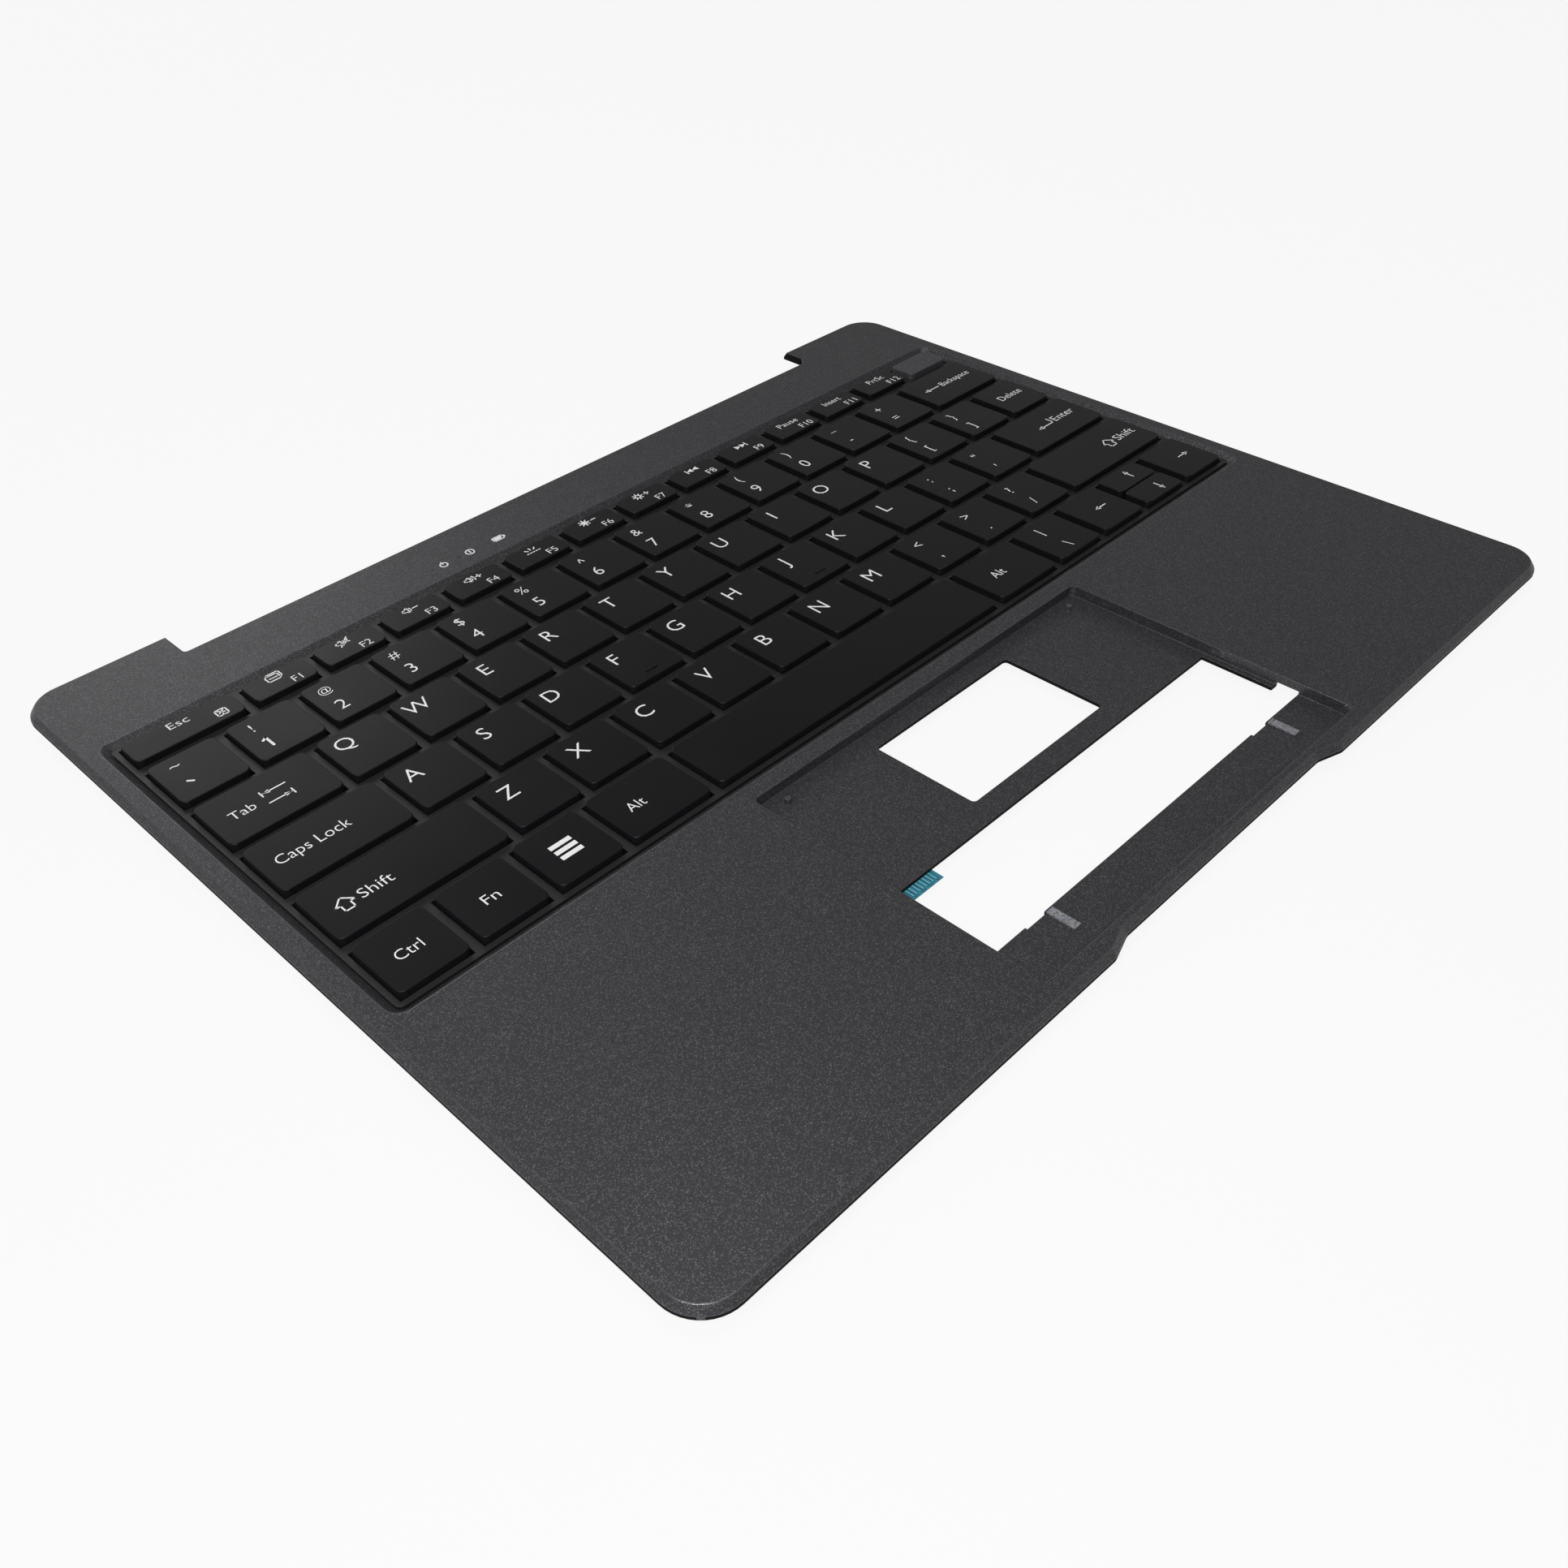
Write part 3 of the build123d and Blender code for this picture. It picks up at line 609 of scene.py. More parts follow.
LETTER_ROWS = [("qwertyuiop", 4.5, 4.75), ("asdfghjkl", 4.4, 4.6), ("zxcvbnm", 5.1, 5.0)]
DIGIT_SIGNS = "!@#$%^&*()"
SIGN_PAIRS = [
    ("minus", "_", 4.5, 4.1, "-", 4.4, 11.1),
    ("equals", "+", 4.6, 4.3, "=", 4.6, 11.1), ("key_bracket_left", "{", 4.5, 4.3, "[", 4.5, 11.6),
    ("key_bracket_right", "}", 4.4, 4.3, "]", 4.4, 11.6), ("key_semicolon", ":", 4.7, 4.4, ";", 4.7, 11.9),
    ("key_quote", '"', 4.6, 4.1, "'", 4.6, 11.8), ("key_comma", "<", 5.0, 4.1, ",", 5.2, 12.4),
    ("key_period", ">", 5.2, 4.2, ".", 5.4, 12.6), ("key_slash", "?", 5.2, 4.2, "/", 5.2, 12.0),
    ("key_backslash", "|", 6.2, 4.3, "\\", 7.0, 12.2),
]
WORDS = [
    ("esc", "Esc", 13.1, 1.6, 2.4, 5.0), ("f10", "Pause", 7.9, 2.1, 2.2, 7.4),
    ("f11", "Insert", 7.9, 2.1, 2.2, 6.7),
    ("f12", "PrtSc", 8.5, 2.1, 2.2, 6.5), ("backspace", "Backspace", 17.1, 7.2, 2.3, 12.5),
    ("key_tab", "Tab", 7.0, 8.0, 2.6, 5.8), ("key_delete", "Delete", 8.3, 7.4, 2.6, 9.3),
    ("key_caps_lock", "Caps Lock", 12.0, 7.4, 2.9, 17.1), ("key_enter", "Enter", 22.8, 7.3, 2.7, 8.9),
    ("key_shift_left", "Shift", 13.3, 8.2, 2.8, 7.6), ("key_shift_right", "Shift", 33.7, 8.1, 2.8, 8.0),
    ("key_ctrl", "Ctrl", 7.5, 8.0, 2.7, 5.9), ("key_fn", "Fn", 7.6, 8.0, 2.7, 3.6),
    ("key_alt_left", "Alt", 7.0, 8.0, 2.7, 4.4), ("key_alt_right", "Alt", 7.8, 8.0, 2.7, 4.3),
]

# Drawn signs, in millimetres about their own middle: lines as chains of points, then filled shapes as
# convex outlines, then rings as middle x, middle y and radius.
SPEAKER = [(-1.9, 0.45), (-1.2, 0.45), (-0.3, 1.25), (-0.3, -1.25), (-1.2, -0.45), (-1.9, -0.45),
           (-1.9, 0.45)]
SUN_RAYS = [[(0.95 * math.cos(a), 0.95 * math.sin(a)), (1.5 * math.cos(a), 1.5 * math.sin(a))]
            for a in [math.pi * i / 4 for i in range(8)]]
DRAWN_SIGNS = {
    "one": {"stroke": 0.62, "lines": [[(-0.55, 1.1), (0.4, 1.75), (0.4, -1.75)]]},
    "grave": {"stroke": 0.5, "lines": [[(-0.55, 0.45), (0.5, -0.4)]]},
    "shift": {"lines": [[(0, 2.0), (2.2, -0.1), (1.1, -0.1), (1.1, -2.0), (-1.1, -2.0), (-1.1, -0.1),
                         (-2.2, -0.1), (0, 2.0)]]},
    "tab": {"lines": [[(-2.8, 2.7), (-2.8, 0.9)], [(-2.6, 1.8), (2.9, 1.8)], [(2.8, -0.9), (2.8, -2.7)],
                      [(2.6, -1.8), (-2.9, -1.8)]],
            "fills": [[(-2.6, 1.8), (-0.9, 2.4), (-0.9, 1.2)], [(2.6, -1.8), (0.9, -1.2), (0.9, -2.4)]]},
    "enter": {"lines": [[(-2.6, -0.9), (3.2, -0.9), (3.2, 1.7)]],
              "fills": [[(-3.4, -0.9), (-1.4, -0.1), (-1.4, -1.7)]]},
    "backspace": {"lines": [[(-2.2, 0), (3.0, 0)]], "fills": [[(-3.0, 0), (-1.0, 0.8), (-1.0, -0.8)]]},
    "left": {"lines": [[(-1.4, 0), (2.1, 0)]], "fills": [[(-2.1, 0), (-0.5, 0.75), (-0.5, -0.75)]]},
    "right": {"lines": [[(-2.1, 0), (1.4, 0)]], "fills": [[(2.1, 0), (0.5, -0.75), (0.5, 0.75)]]},
    "up": {"lines": [[(0, -1.8), (0, 1.2)]], "fills": [[(0, 1.8), (-0.75, 0.3), (0.75, 0.3)]]},
    "down": {"lines": [[(0, 1.8), (0, -1.2)]], "fills": [[(0, -1.8), (0.75, -0.3), (-0.75, -0.3)]]},
    "menu": {"fills": [[(-2.7, 2.5), (-2.7, 1.3), (2.7, 1.3), (2.7, 2.5)],
                       [(-2.7, 0.6), (-2.7, -0.6), (2.7, -0.6), (2.7, 0.6)],
                       [(-2.7, -1.3), (-2.7, -2.5), (2.7, -2.5), (2.7, -1.3)]]},
    "pad_off": {"lines": [[(-1.3, -1.2), (1.3, -1.2), (1.3, 1.2), (-1.3, 1.2), (-1.3, -1.2)],
                          [(-0.7, -0.3), (0.7, 0.8)],
                          [(0.7, -0.3), (-0.7, 0.8)], [(0, -1.2), (0, -0.6)]]},
    "screens": {"lines": [[(-1.9, -1.4), (1.3, -1.4), (1.3, 0.9), (-1.9, 0.9), (-1.9, -1.4)],
                          [(-1.3, 0.9), (-1.3, 1.5), (1.9, 1.5), (1.9, -0.8), (1.3, -0.8)],
                          [(-1.2, -0.3), (-0.7, -0.3)], [(-0.5, -0.3), (0.0, -0.3)],
                          [(0.2, -0.3), (0.7, -0.3)]]},
    "mute": {"lines": [SPEAKER, [(-1.3, -1.5), (1.8, 1.5)], [(0.3, -0.6), (1.5, 0.6)],
                       [(0.3, 0.6), (1.5, -0.6)]]},
    "quieter": {"lines": [SPEAKER, [(0.25, 0.6), (0.45, 0.0), (0.25, -0.6)], [(1.0, 0.0), (2.4, 0.0)]]},
    "louder": {"lines": [SPEAKER, [(0.2, 0.6), (0.4, 0.0), (0.2, -0.6)],
                         [(0.8, 1.0), (1.1, 0.0), (0.8, -1.0)],
                         [(1.6, 0.0), (3.0, 0.0)], [(2.3, 0.7), (2.3, -0.7)]]},
    "key_light": {"lines": [[(-1.9 + 0.9 * i, -1.2), (-1.5 + 0.9 * i, -1.2)] for i in range(5)]
                  + [[(0, 0.1), (0, 1.0)], [(-0.9, -0.1), (-1.5, 0.6)], [(0.9, -0.1), (1.5, 0.6)]]},
    "dimmer": {"lines": SUN_RAYS + [[(2.3, 0.0), (3.6, 0.0)]],
               "fills": [[(0.85 * math.cos(math.pi * i / 6), 0.85 * math.sin(math.pi * i / 6))
                          for i in range(12)]]},
    "brighter": {"lines": SUN_RAYS + [[(2.2, 0.0), (3.6, 0.0)], [(2.9, 0.7), (2.9, -0.7)]],
                 "rings": [(0, 0, 0.75)]},
    "back": {"lines": [[(-1.9, 0.9), (-1.9, -0.9)]],
             "fills": [[(-1.7, 0), (0.1, -0.95), (0.1, 0.95)], [(0.2, 0), (2.0, -0.95), (2.0, 0.95)]]},
    "next": {"lines": [[(1.9, 0.9), (1.9, -0.9)]],
             "fills": [[(1.7, 0), (-0.1, 0.95), (-0.1, -0.95)], [(-0.2, 0), (-2.0, 0.95), (-2.0, -0.95)]]},
}
SIGN_PLACES = [
    ("1", "one", 4.3, 10.6), ("grave", "grave", 4.8, 10.2),
    ("esc", "pad_off", 22.0, 5.2), ("f1", "screens", 7.5, 2.0), ("f2", "mute", 7.4, 2.0),
    ("f3", "quieter", 7.5, 2.0), ("f4", "louder", 7.3, 2.0), ("f5", "key_light", 7.3, 2.2),
    ("f6", "dimmer", 6.6, 2.0), ("f7", "brighter", 6.6, 2.0),
    ("f8", "back", 7.7, 2.0), ("f9", "next", 7.9, 2.0), ("backspace", "backspace", 6.7, 7.3),
    ("key_tab", "tab", 15.3, 8.0), ("key_enter", "enter", 14.0, 7.4), ("key_shift_left", "shift", 6.3, 8.2),
    ("key_shift_right", "shift", 26.6, 8.1), ("key_menu", "menu", 7.6, 7.8),
    ("key_arrow_left", "left", 8.6, 7.8), ("key_arrow_right", "right", 9.8, 7.8),
    ("key_arrow_up", "up", 9.3, 3.1), ("key_arrow_down", "down", 9.7, 4.4),
]


def print_text(words, x, y, level, height, ink, width=None):
    """Letters as a thin film whose capitals have this height, with their middle at a place."""
    look = bpy.context.scene.legend_look
    deselect()
    bpy.ops.object.text_add(location=(0, 0, 0))
    text = bpy.context.object
    text.data.body = "H"
    text.data.size = 1.0
    bpy.context.view_layer.update()
    text.data.size = height / text.dimensions.y
    text.data.body = words
    text.data.resolution_u = 3
    text.data.align_x = "CENTER"
    text.data.offset = look.weight * text.data.size
    text.data.extrude = look.film / 2
    bpy.ops.object.convert(target="MESH")
    text = bpy.context.object
    bpy.ops.object.mode_set(mode="EDIT")
    bpy.ops.mesh.select_all(action="SELECT")
    bpy.ops.mesh.remove_doubles(threshold=0.001 * MM)
    bpy.ops.mesh.dissolve_degenerate(threshold=0.001 * MM)
    bpy.ops.mesh.normals_make_consistent(inside=False)
    bpy.ops.object.mode_set(mode="OBJECT")
    corners = [Vector(corner) for corner in text.bound_box]
    left, right = min(c.x for c in corners), max(c.x for c in corners)
    low, high = min(c.y for c in corners), max(c.y for c in corners)
    stretch = width / (right - left) if width else 1.0
    middle = height / 2 if len(words) > 1 else (low + high) / 2
    text.scale = (stretch, 1, 1)
    text.location = (x - stretch * (left + right) / 2, y - middle, level)
    settle(text)
    paint(text, ink)
    return text


def print_line(start, end, x, y, level, ink, stroke_width):
    """A straight stroke of ink with round ends."""
    look = bpy.context.scene.legend_look
    a = Vector((x + start[0] * MM, y + start[1] * MM, level))
    b = Vector((x + end[0] * MM, y + end[1] * MM, level))
    span = b - a
    deselect()
    bpy.ops.mesh.primitive_cube_add(size=1, location=(a + b) / 2, rotation=(0, 0, math.atan2(span.y, span.x)),
                                    scale=(span.length + stroke_width, stroke_width, look.film))
    stroke = bpy.context.object
    settle(stroke)
    bpy.ops.object.mode_set(mode="EDIT")
    pick_edges(stroke, lambda a, b: abs(a.z - b.z) > look.film / 2)
    bpy.ops.mesh.bevel(offset=0.4 * stroke_width, segments=2, affect="EDGES")
    bpy.ops.object.mode_set(mode="OBJECT")
    paint(stroke, ink)
    return stroke


def print_fill(outline, x, y, level, ink):
    """A filled patch of ink with a convex outline."""
    look = bpy.context.scene.legend_look
    deselect()
    bpy.ops.mesh.primitive_circle_add(vertices=len(outline), radius=1, fill_type="NGON")
    patch = bpy.context.object
    for vertex, (across, along) in zip(patch.data.vertices, outline):
        vertex.co = (across * MM, along * MM, -look.film / 2)
    bpy.ops.object.mode_set(mode="EDIT")
    bpy.ops.mesh.select_all(action="SELECT")
    bpy.ops.mesh.extrude_region_move(TRANSFORM_OT_translate={"value": (0, 0, look.film)})
    bpy.ops.mesh.select_all(action="SELECT")
    bpy.ops.mesh.normals_make_consistent(inside=False)
    bpy.ops.object.mode_set(mode="OBJECT")
    patch.location = (x, y, level)
    settle(patch)
    paint(patch, ink)
    return patch


def print_ring(middle, x, y, level, ink):
    """A closed ring of ink."""
    look = bpy.context.scene.legend_look
    radius = middle[2] * MM
    deselect()
    place = (x + middle[0] * MM, y + middle[1] * MM, level - look.film / 2)
    bpy.ops.mesh.primitive_circle_add(vertices=20, radius=radius + look.stroke / 2, fill_type="NGON",
                                      location=place)
    ring = bpy.context.object
    settle(ring)
    bpy.ops.object.mode_set(mode="EDIT")
    bpy.ops.mesh.select_all(action="SELECT")
    bpy.ops.mesh.inset(thickness=look.stroke)
    bpy.ops.mesh.delete(type="FACE")
    bpy.ops.mesh.select_all(action="SELECT")
    bpy.ops.mesh.extrude_region_move(TRANSFORM_OT_translate={"value": (0, 0, look.film)})
    bpy.ops.mesh.select_all(action="SELECT")
    bpy.ops.mesh.normals_make_consistent(inside=False)
    bpy.ops.object.mode_set(mode="OBJECT")
    paint(ring, ink)
    return ring


def print_sign(sign, x, y, level, ink):
    """One drawn sign as a list of ink pieces."""
    look = bpy.context.scene.legend_look
    width = sign["stroke"] * MM if "stroke" in sign else look.stroke
    pieces = []
    for line in sign.get("lines", []):
        pieces += [print_line(a, b, x, y, level, ink, width) for a, b in zip(line, line[1:])]
    pieces += [print_fill(outline, x, y, level, ink) for outline in sign.get("fills", [])]
    pieces += [print_ring(ring, x, y, level, ink) for ring in sign.get("rings", [])]
    return pieces


# Places on a cap in mm from its left and rear edges, and how much smaller the widest sign is printed
OVER_DIGIT = (4.3, 3.8)
DIGIT_PLACE = (4.3, 10.6)
TILDE_PLACE = (4.8, 3.4)
F_NUMBER_PLACE = (11.2, 6.1)
F_NUMBER_STEP = 0.4
AT_SHARE = 0.78


class TOPCASE_OT_legends(bpy.types.Operator):
    """Print the letters, digits, words and signs on the caps"""

    bl_idname = "topcase.legends"
    bl_label = "Legends"

    def execute(self, context):
        look = context.scene.legend_look
        ink = printed_ink("Pad-printed white ink", look.ink)
        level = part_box("upper_row_keys")[1].z + look.film / 2
        places = {place.name: place for place in moving_places() + upper_places()}
        printed = {}

        def spot(key, across, back):
            place = places[key]
            return place.left + look.inset + across * MM, place.rear - look.inset - back * MM

        def add(key, pieces):
            printed.setdefault(key, []).extend(pieces)

        def add_text(key, words, across, back, height, width=None):
            x, y = spot(key, across, back)
            add(key, [print_text(words, x, y, level, height, ink, width)])

        for letters, across, back in LETTER_ROWS:
            for letter in letters:
                add_text("key_" + letter, letter.upper(), across, back, look.letter)
        for digit, sign in zip("1234567890", DIGIT_SIGNS):
            add_text(digit, sign, *OVER_DIGIT, AT_SHARE * look.sign if sign == "@" else look.sign)
            if digit != "1":
                add_text(digit, digit, *DIGIT_PLACE, look.digit)
        for key, upper, upper_across, upper_back, lower, lower_across, lower_back in SIGN_PAIRS:
            add_text(key, upper, upper_across, upper_back, look.sign)
            add_text(key, lower, lower_across, lower_back, look.sign)
        add_text("grave", "~", *TILDE_PLACE, look.sign)
        for key, words, across, back, height, width in WORDS:
            add_text(key, words, across, back, height * MM, width * MM)
        for number in range(1, 13):
            across = F_NUMBER_PLACE[0] + F_NUMBER_STEP * max(0, number - 9)
            add_text("f%d" % number, "F%d" % number, across, F_NUMBER_PLACE[1], look.small)
        for key, sign, across, back in SIGN_PLACES:
            x, y = spot(key, across, back)
            add(key, print_sign(DRAWN_SIGNS[sign], x, y, level, ink))
        upper = []
        for key, pieces in printed.items():
            if places[key].body == "case":
                upper += pieces
                continue
            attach(join(pieces, "legend_" + key), places[key].body)
        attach(join(upper, "legend_upper_rows"), "case")
        return {"FINISHED"}


# Cover, grille and what is printed on the cover

class TOPCASE_OT_cover(bpy.types.Operator):
    """Round the moulded edges of the cover and paint it"""

    bl_idname = "topcase.cover"
    bl_label = "Cover"

    # Heights that part the unpainted plastic from the paint, and margins from the outline of the case; inside
    # these margins the wall of the rim takes the dark unpainted finish as painted shade
    CUT_TOP = 3.2 * MM
    RIM_TOP = 4.9 * MM
    RIM_BOTTOM = 3.7 * MM
    UNDERSIDE_TOP = 2.6 * MM
    RIM_MARGIN = 2.4 * MM
    HINGE_MARGIN = 12 * MM

    # The least angle between two faces whose edge is rounded
    SHARP_EDGE = math.radians(28)

    # Where the front edge of the touchpad recess runs: behind the front of the case, and half its length
    RECESS_FRONT = 5.2 * MM
    RECESS_REAR = 6.8 * MM
    RECESS_REACH = 58 * MM

    def execute(self, context):
        look = context.scene.cover_look
        cover = bpy.data.objects.new("cover", NODES["top_case"].data.copy())
        cover.data.name = "cover"
        context.scene.collection.objects.link(cover)
        deselect()
        cover.select_set(True)
        context.view_layer.objects.active = cover
        bpy.ops.object.mode_set(mode="EDIT")
        bpy.ops.mesh.select_all(action="SELECT")
        bpy.ops.mesh.remove_doubles(threshold=0.001 * MM)
        bpy.ops.mesh.dissolve_limited(angle_limit=math.radians(0.5))
        self.round_recess(cover, look)
        painted = metallic_paint("Metallic paint on ABS", look.paint, look.flake, look.flake_spacing)
        # Dark unpainted plastic: real on the underside, painted shade on the wall of the rim.
        bare = moulded_abs("Bare moulded ABS", look.bare, 0.5 * MM, 0.6, 0.03)
        # The rounded edge strips: smoother worn paint, lighter in colour as a painted highlight.
        rubbed_and_highlight = metallic_paint("Metallic paint rubbed bright", look.rubbed_and_highlight, look.flake, look.flake_spacing,
                                0.24, 0.34)
        paint(cover, painted, bare, rubbed_and_highlight)
        self.round_edges(cover, look)
        bpy.ops.object.mode_set(mode="OBJECT")
        smooth(cover, 32)
        bpy.ops.object.mode_set(mode="EDIT")
        pick_faces(cover, self.bare_and_shade_test())
        cover.active_material_index = 1
        bpy.ops.object.material_slot_assign()
        bpy.ops.object.mode_set(mode="OBJECT")
        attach(cover, "case")
        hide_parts("top_case")
        return {"FINISHED"}

    def bare_and_shade_test(self):
        """A test for the faces with the dark unpainted finish: the underside, the cut edges near it and the
        wall of the rim, where that finish is painted shade.
        """
        low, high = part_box("top_case")

        def is_bare_and_shade(middle, normal):
            sides = min(middle.x - low.x, high.x - middle.x, middle.y - low.y)
            outside = sides < self.RIM_MARGIN or middle.y > high.y - self.HINGE_MARGIN
            # The wall of the rim, given the dark finish as painted shade.
            wall = abs(normal.z) < 0.3 and middle.z < self.RIM_TOP
            return normal.z < -0.4 or middle.z < self.CUT_TOP or (wall and outside)

        return is_bare_and_shade

    def round_edges(self, cover, look):
        """Rounds, in edit mode, the sharp edges above the underside, and gives their strips a smoother paint
        worn by use, whose lighter colour is a painted highlight.
        """
        bpy.ops.mesh.select_mode(type="EDGE")
        bpy.ops.mesh.select_all(action="DESELECT")
        bpy.ops.mesh.edges_select_sharp(sharpness=self.SHARP_EDGE)
        mesh = bmesh.from_edit_mesh(cover.data)
        low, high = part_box("top_case")
        for edge in mesh.edges:
            level = max(vertex.co.z for vertex in edge.verts)
            x, y = edge.verts[0].co.x, edge.verts[0].co.y
            outside = min(x - low.x, high.x - x, y - low.y, high.y - y) < self.RIM_MARGIN
            if level < self.UNDERSIDE_TOP or (outside and level < self.RIM_BOTTOM):
                edge.select_set(False)
        bmesh.update_edit_mesh(cover.data)
        bpy.ops.mesh.bevel(offset=look.edge_radius, segments=2, affect="EDGES", clamp_overlap=False)
        bpy.ops.mesh.select_mode(type="FACE")
        # The new edge strips take the lighter paint: a painted highlight along every rounded edge.
        cover.active_material_index = 2
        bpy.ops.object.material_slot_assign()

    def round_recess(self, cover, look):
        """Rounds the shoulder along the front of the touchpad recess, in edit mode."""
        low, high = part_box("top_case")
        level = high.z - 0.01 * MM
        front = low.y + self.RECESS_FRONT
        rear = low.y + self.RECESS_REAR

        def on_shoulder(a, b):
            return all(v.z > level and front < v.y < rear and abs(v.x) < self.RECESS_REACH for v in (a, b))

        pick_edges(cover, on_shoulder)
        bpy.ops.mesh.bevel(offset=look.shoulder, segments=4, affect="EDGES")


class TOPCASE_OT_grille(bpy.types.Operator):
    """Give the key grille its moulded finish, near-black as painted shade between the keys"""

    bl_idname = "topcase.grille"
    bl_label = "Grille"

    def execute(self, context):
        look = context.scene.cover_look
        # The grille's colour holds painted shade: darker than the moulding itself.
        paint(NODES["key_grille"], moulded_abs("Moulded ABS lattice", look.grille, 0.4 * MM, 0.5))
        return {"FINISHED"}


class TOPCASE_OT_status_marks(bpy.types.Operator):
    """Print the three status marks and set the small lenses beside them"""

    bl_idname = "topcase.status_marks"
    bl_label = "Status marks"

    MARKS = [(-42.6, 87.2, {"lines": [[(0, 0.4), (0, 1.5)]], "rings": [(0, 0, 1.0)]}),
             (-34.2, 87.4, {"lines": [[(0, -0.5), (0, 0.6)]], "rings": [(0, 0, 1.15)]}),
             (-24.9, 87.4, {"lines": [[(-1.7, -0.9), (1.5, -0.9), (1.5, 0.9), (-1.7, 0.9), (-1.7, -0.9)]],
                            "fills": [[(1.6, -0.4), (2.1, -0.4), (2.1, 0.4), (1.6, 0.4)],
                                      [(-1.4, -0.6), (0.6, -0.6), (1.2, 0.6), (-1.4, 0.6)]]})]

    def execute(self, context):
        look = context.scene.cover_look
        film = context.scene.legend_look.film
        stroke = context.scene.legend_look.stroke
        mark = printed_ink("Pad-printed grey ink", look.mark)
        lens = moulded_abs("Smoked acrylic lens", look.light_hole, 0.5 * MM, 0.2)
        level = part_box("top_case")[1].z + film / 2
        marks = []
        lenses = []
        for x, y, sign in self.MARKS:
            marks += print_sign(sign, x * MM, y * MM, level, mark)
            lenses.append(print_line((-3.9, 0), (-3.3, 0), x * MM, y * MM, level, lens, stroke))
        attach(join(marks, "status_marks"), "case")
        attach(join(lenses, "status_lenses"), "case")
        return {"FINISHED"}


# Switch layers

class TOPCASE_OT_layers(bpy.types.Operator):
    """Finish the switch film and its contact fingers, the plate, the light panel and the adhesive strips"""

    bl_idname = "topcase.layers"
    bl_label = "Switch layers"

    FINGERS = 9

    def execute(self, context):
        look = context.scene.layer_look
        paint(NODES["membrane"], printed_film(look))
        paint(NODES["support_plate"], rolled_steel(look))
        paint(NODES["backlight_panel"], moulded_abs("Black polyester film", look.backlight, 2 * MM, 0.3))
        paint(NODES["touchpad_strips"], adhesive_tape(look))
        self.model_fingers(look)
        return {"FINISHED"}

    def model_fingers(self, look):
        """Printed contact fingers at the end of the film's tail, each on a darker outline."""
        low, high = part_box("membrane")
        thick = 0.02 * MM
        prints = [("tail_outlines", "Printed blue ink", look.outline, look.outline_width, 0.15 * MM),
                  ("tail_contacts", "Printed carbon contacts", look.contact, look.finger_width, 0.0)]
        level = high.z + thick / 2
        for name, finish, ink, width, reach in prints:
            model = self.model_finger(width, look.finger_length + reach, thick)
            paint(model, printed_ink(finish, ink))
            front = low.y + look.finger_inset - reach
            middle_y = front + (look.finger_length + reach) / 2
            first = look.tail_left + 1.25 * look.finger_pitch
            fingers = [copy_to(model, "finger_%d" % i, first + i * look.finger_pitch, middle_y, level)
                       for i in range(self.FINGERS)]
            remove(model)
            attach(join(fingers, name), "case")
            level += thick

    def model_finger(self, width, reach, thick):
        """One flat finger about the origin with round ends."""
        deselect()
        bpy.ops.mesh.primitive_cube_add(size=1, scale=(width, reach, thick))
        model = bpy.context.object
        settle(model)
        bpy.ops.object.mode_set(mode="EDIT")
        pick_edges(model, lambda a, b: abs(a.z - b.z) > thick / 2)
        bpy.ops.mesh.bevel(offset=0.45 * width, segments=3, affect="EDGES")
        bpy.ops.object.mode_set(mode="OBJECT")
        return model


class TOPCASE_OT_switches(bpy.types.Operator):
    """Split the scissor links and the rubber domes key by key, into one piece under each moving key"""

    bl_idname = "topcase.switches"
    bl_label = "Scissor links and domes"

    def execute(self, context):
        look = context.scene.layer_look
        self.fold_with_keys("scissor_hinges", "links_", "hinge_plastic",
                            moulded_abs("Moulded acetal", look.hinge, 0.5 * MM, 0.4), look)
        self.fold_with_keys("rubber_domes", "dome_", "dome_rubber",
                            moulded_abs("Silicone rubber", look.rubber, 0.6 * MM, 0.6), look)
        return {"FINISHED"}

    def fold_with_keys(self, node, prefix, slot, finish, look):
        """One piece for each moving key, with its own mesh where the key has a joint, and one for the upper
        rows; the case carries them all.
        """
        places = moving_places()
        groups = {}
        for part in split_node(node):
            groups.setdefault(self.key_over(part, places), []).append(part)
        for name, parts in groups.items():
            piece = join(parts, prefix + name)
            smooth(piece, 35)
            paint(piece, finish)
            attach(piece, "case")
            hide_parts(node)
            if name in KEY_TRAVEL:
                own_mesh(piece)

    def key_over(self, part, places):
        """The name of the moving key over a part, or that of the two upper rows."""
        middle = sum((Vector(corner) for corner in part.bound_box), Vector()) / 8
        for place in places:
            if place.left < middle.x < place.right and place.front < middle.y < place.rear:
                return place.name
        return "upper_rows"


# Stage

# Each soft box: its name, the property that holds its power, its size and its place in metres
SOFT_BOXES = (
    ("rear_soft_box", "rear_power", 0.7, (0.25, 1.35, 0.64)),
    ("top_soft_box", "top_power", 0.4, (0.02, 0.08, 1.25)),
    ("side_soft_box", "side_power", 0.45, (-0.8, -0.25, 0.95)),
    ("near_soft_box", "near_power", 0.07, (-0.24, -0.22, 0.24)),
)


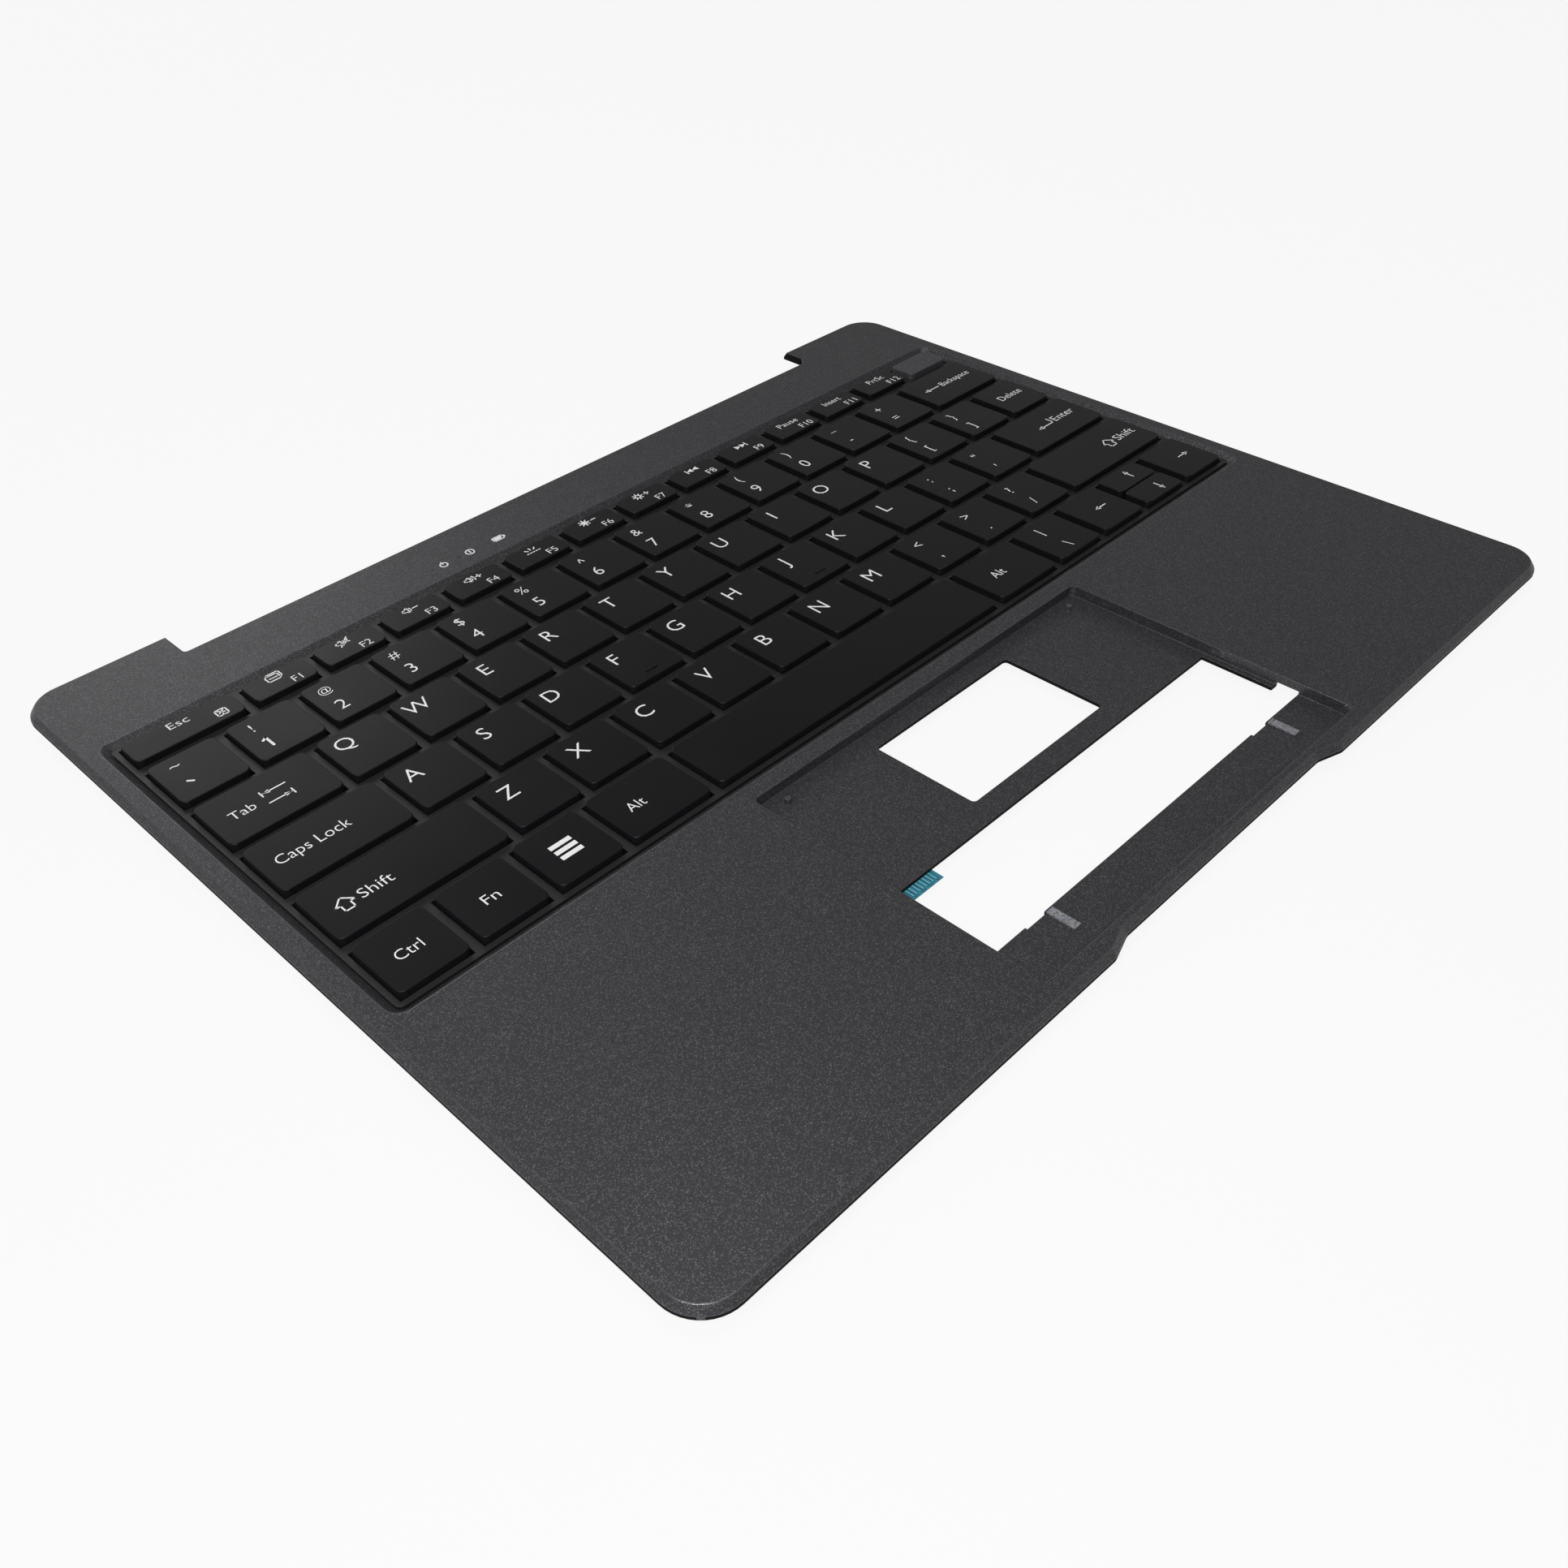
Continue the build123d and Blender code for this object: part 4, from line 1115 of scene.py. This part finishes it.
class TOPCASE_OT_stage(bpy.types.Operator):
    """Set the floor, the soft boxes, the light of the room and the camera"""

    bl_idname = "topcase.stage"
    bl_label = "Stage"

    def execute(self, context):
        look = context.scene.stage_look
        deselect()
        bpy.ops.mesh.primitive_plane_add(size=8, location=(0, 0, 0))
        floor = context.object
        floor.name = "floor"
        paint(floor, studio_floor(look))
        for name, watts, size, place in SOFT_BOXES:
            self.add_lamp(name, getattr(look, watts), size, place)
        context.scene.world = self.room(look)
        bpy.ops.object.camera_add(location=look.eye, rotation=look.turn)
        camera = context.object
        camera.data.lens = look.lens
        camera.data.sensor_width = 36.0
        camera.data.shift_x, camera.data.shift_y = look.shift
        camera.data.clip_start = 0.01
        context.scene.camera = camera
        context.scene.view_settings.view_transform = "Standard"
        return {"FINISHED"}

    def room(self, look):
        """A plain room whose pale walls are brighter than its ceiling, and which shows nearly white."""
        world = bpy.data.worlds.new("room")
        world.use_nodes = True
        tree = world.node_tree
        tree.nodes.clear()
        way = add_node(tree, "ShaderNodeTexCoord").outputs["Generated"]
        rise = add_node(tree, "ShaderNodeSeparateXYZ", {"Vector": way})
        level = add_node(tree, "ShaderNodeMapRange",
                         {"Value": rise.outputs["Z"], "From Min": 0.4, "From Max": 0.7,
                          "To Min": look.wall_strength, "To Max": look.ceiling_strength})
        seen = add_node(tree, "ShaderNodeLightPath").outputs["Is Camera Ray"]
        strength = add_node(tree, "ShaderNodeMix",
                            {"Factor": seen, "A": level.outputs["Result"], "B": look.room_white})
        light = add_node(tree, "ShaderNodeBackground",
                         {"Color": rgba(look.room), "Strength": strength.outputs[0]})
        add_node(tree, "ShaderNodeOutputWorld", {"Surface": light.outputs["Background"]})
        return world

    def add_lamp(self, name, watts, size, place):
        """A square soft box that faces the middle of the case."""
        bpy.ops.object.light_add(type="AREA", location=place)
        lamp = bpy.context.object
        lamp.name = name
        lamp.data.energy = watts
        lamp.data.size = size
        lamp.visible_camera = False
        lamp.rotation_euler = (-Vector(place)).to_track_quat("-Z", "Y").to_euler()


class TOPCASE_PT_panel(bpy.types.Panel):
    """The steps that dress the top case, and their sizes and colours"""

    bl_idname = "TOPCASE_PT_panel"
    bl_label = "Top Case"
    bl_space_type = "VIEW_3D"
    bl_region_type = "UI"
    bl_category = "Top Case"

    def draw(self, context):
        for operator in OPERATORS:
            self.layout.operator(operator.bl_idname)
        for group in LOOKS:
            look = getattr(context.scene, group)
            for name in look.bl_rna.properties.keys():
                if name not in ("rna_type", "name"):
                    self.layout.prop(look, name)


OPERATORS = (TOPCASE_OT_cover, TOPCASE_OT_grille, TOPCASE_OT_status_marks, TOPCASE_OT_keycaps,
             TOPCASE_OT_legends, TOPCASE_OT_layers, TOPCASE_OT_switches, TOPCASE_OT_stage)
LOOKS = {"cover_look": CoverLook, "key_look": KeyLook, "legend_look": LegendLook, "layer_look": LayerLook,
         "stage_look": StageLook}
CLASSES = tuple(LOOKS.values()) + OPERATORS + (TOPCASE_PT_panel,)


def register():
    for item in CLASSES:
        bpy.utils.register_class(item)
    for name, group in LOOKS.items():
        setattr(bpy.types.Scene, name, PointerProperty(type=group))


def unregister():
    for name in LOOKS:
        delattr(bpy.types.Scene, name)
    for item in reversed(CLASSES):
        bpy.utils.unregister_class(item)


def main():
    register()
    bpy.ops.topcase.cover()
    bpy.ops.topcase.grille()
    bpy.ops.topcase.status_marks()
    bpy.ops.topcase.keycaps()
    bpy.ops.topcase.legends()
    bpy.ops.topcase.layers()
    bpy.ops.topcase.switches()
    bpy.ops.topcase.stage()


if __name__ == "__main__":
    main()
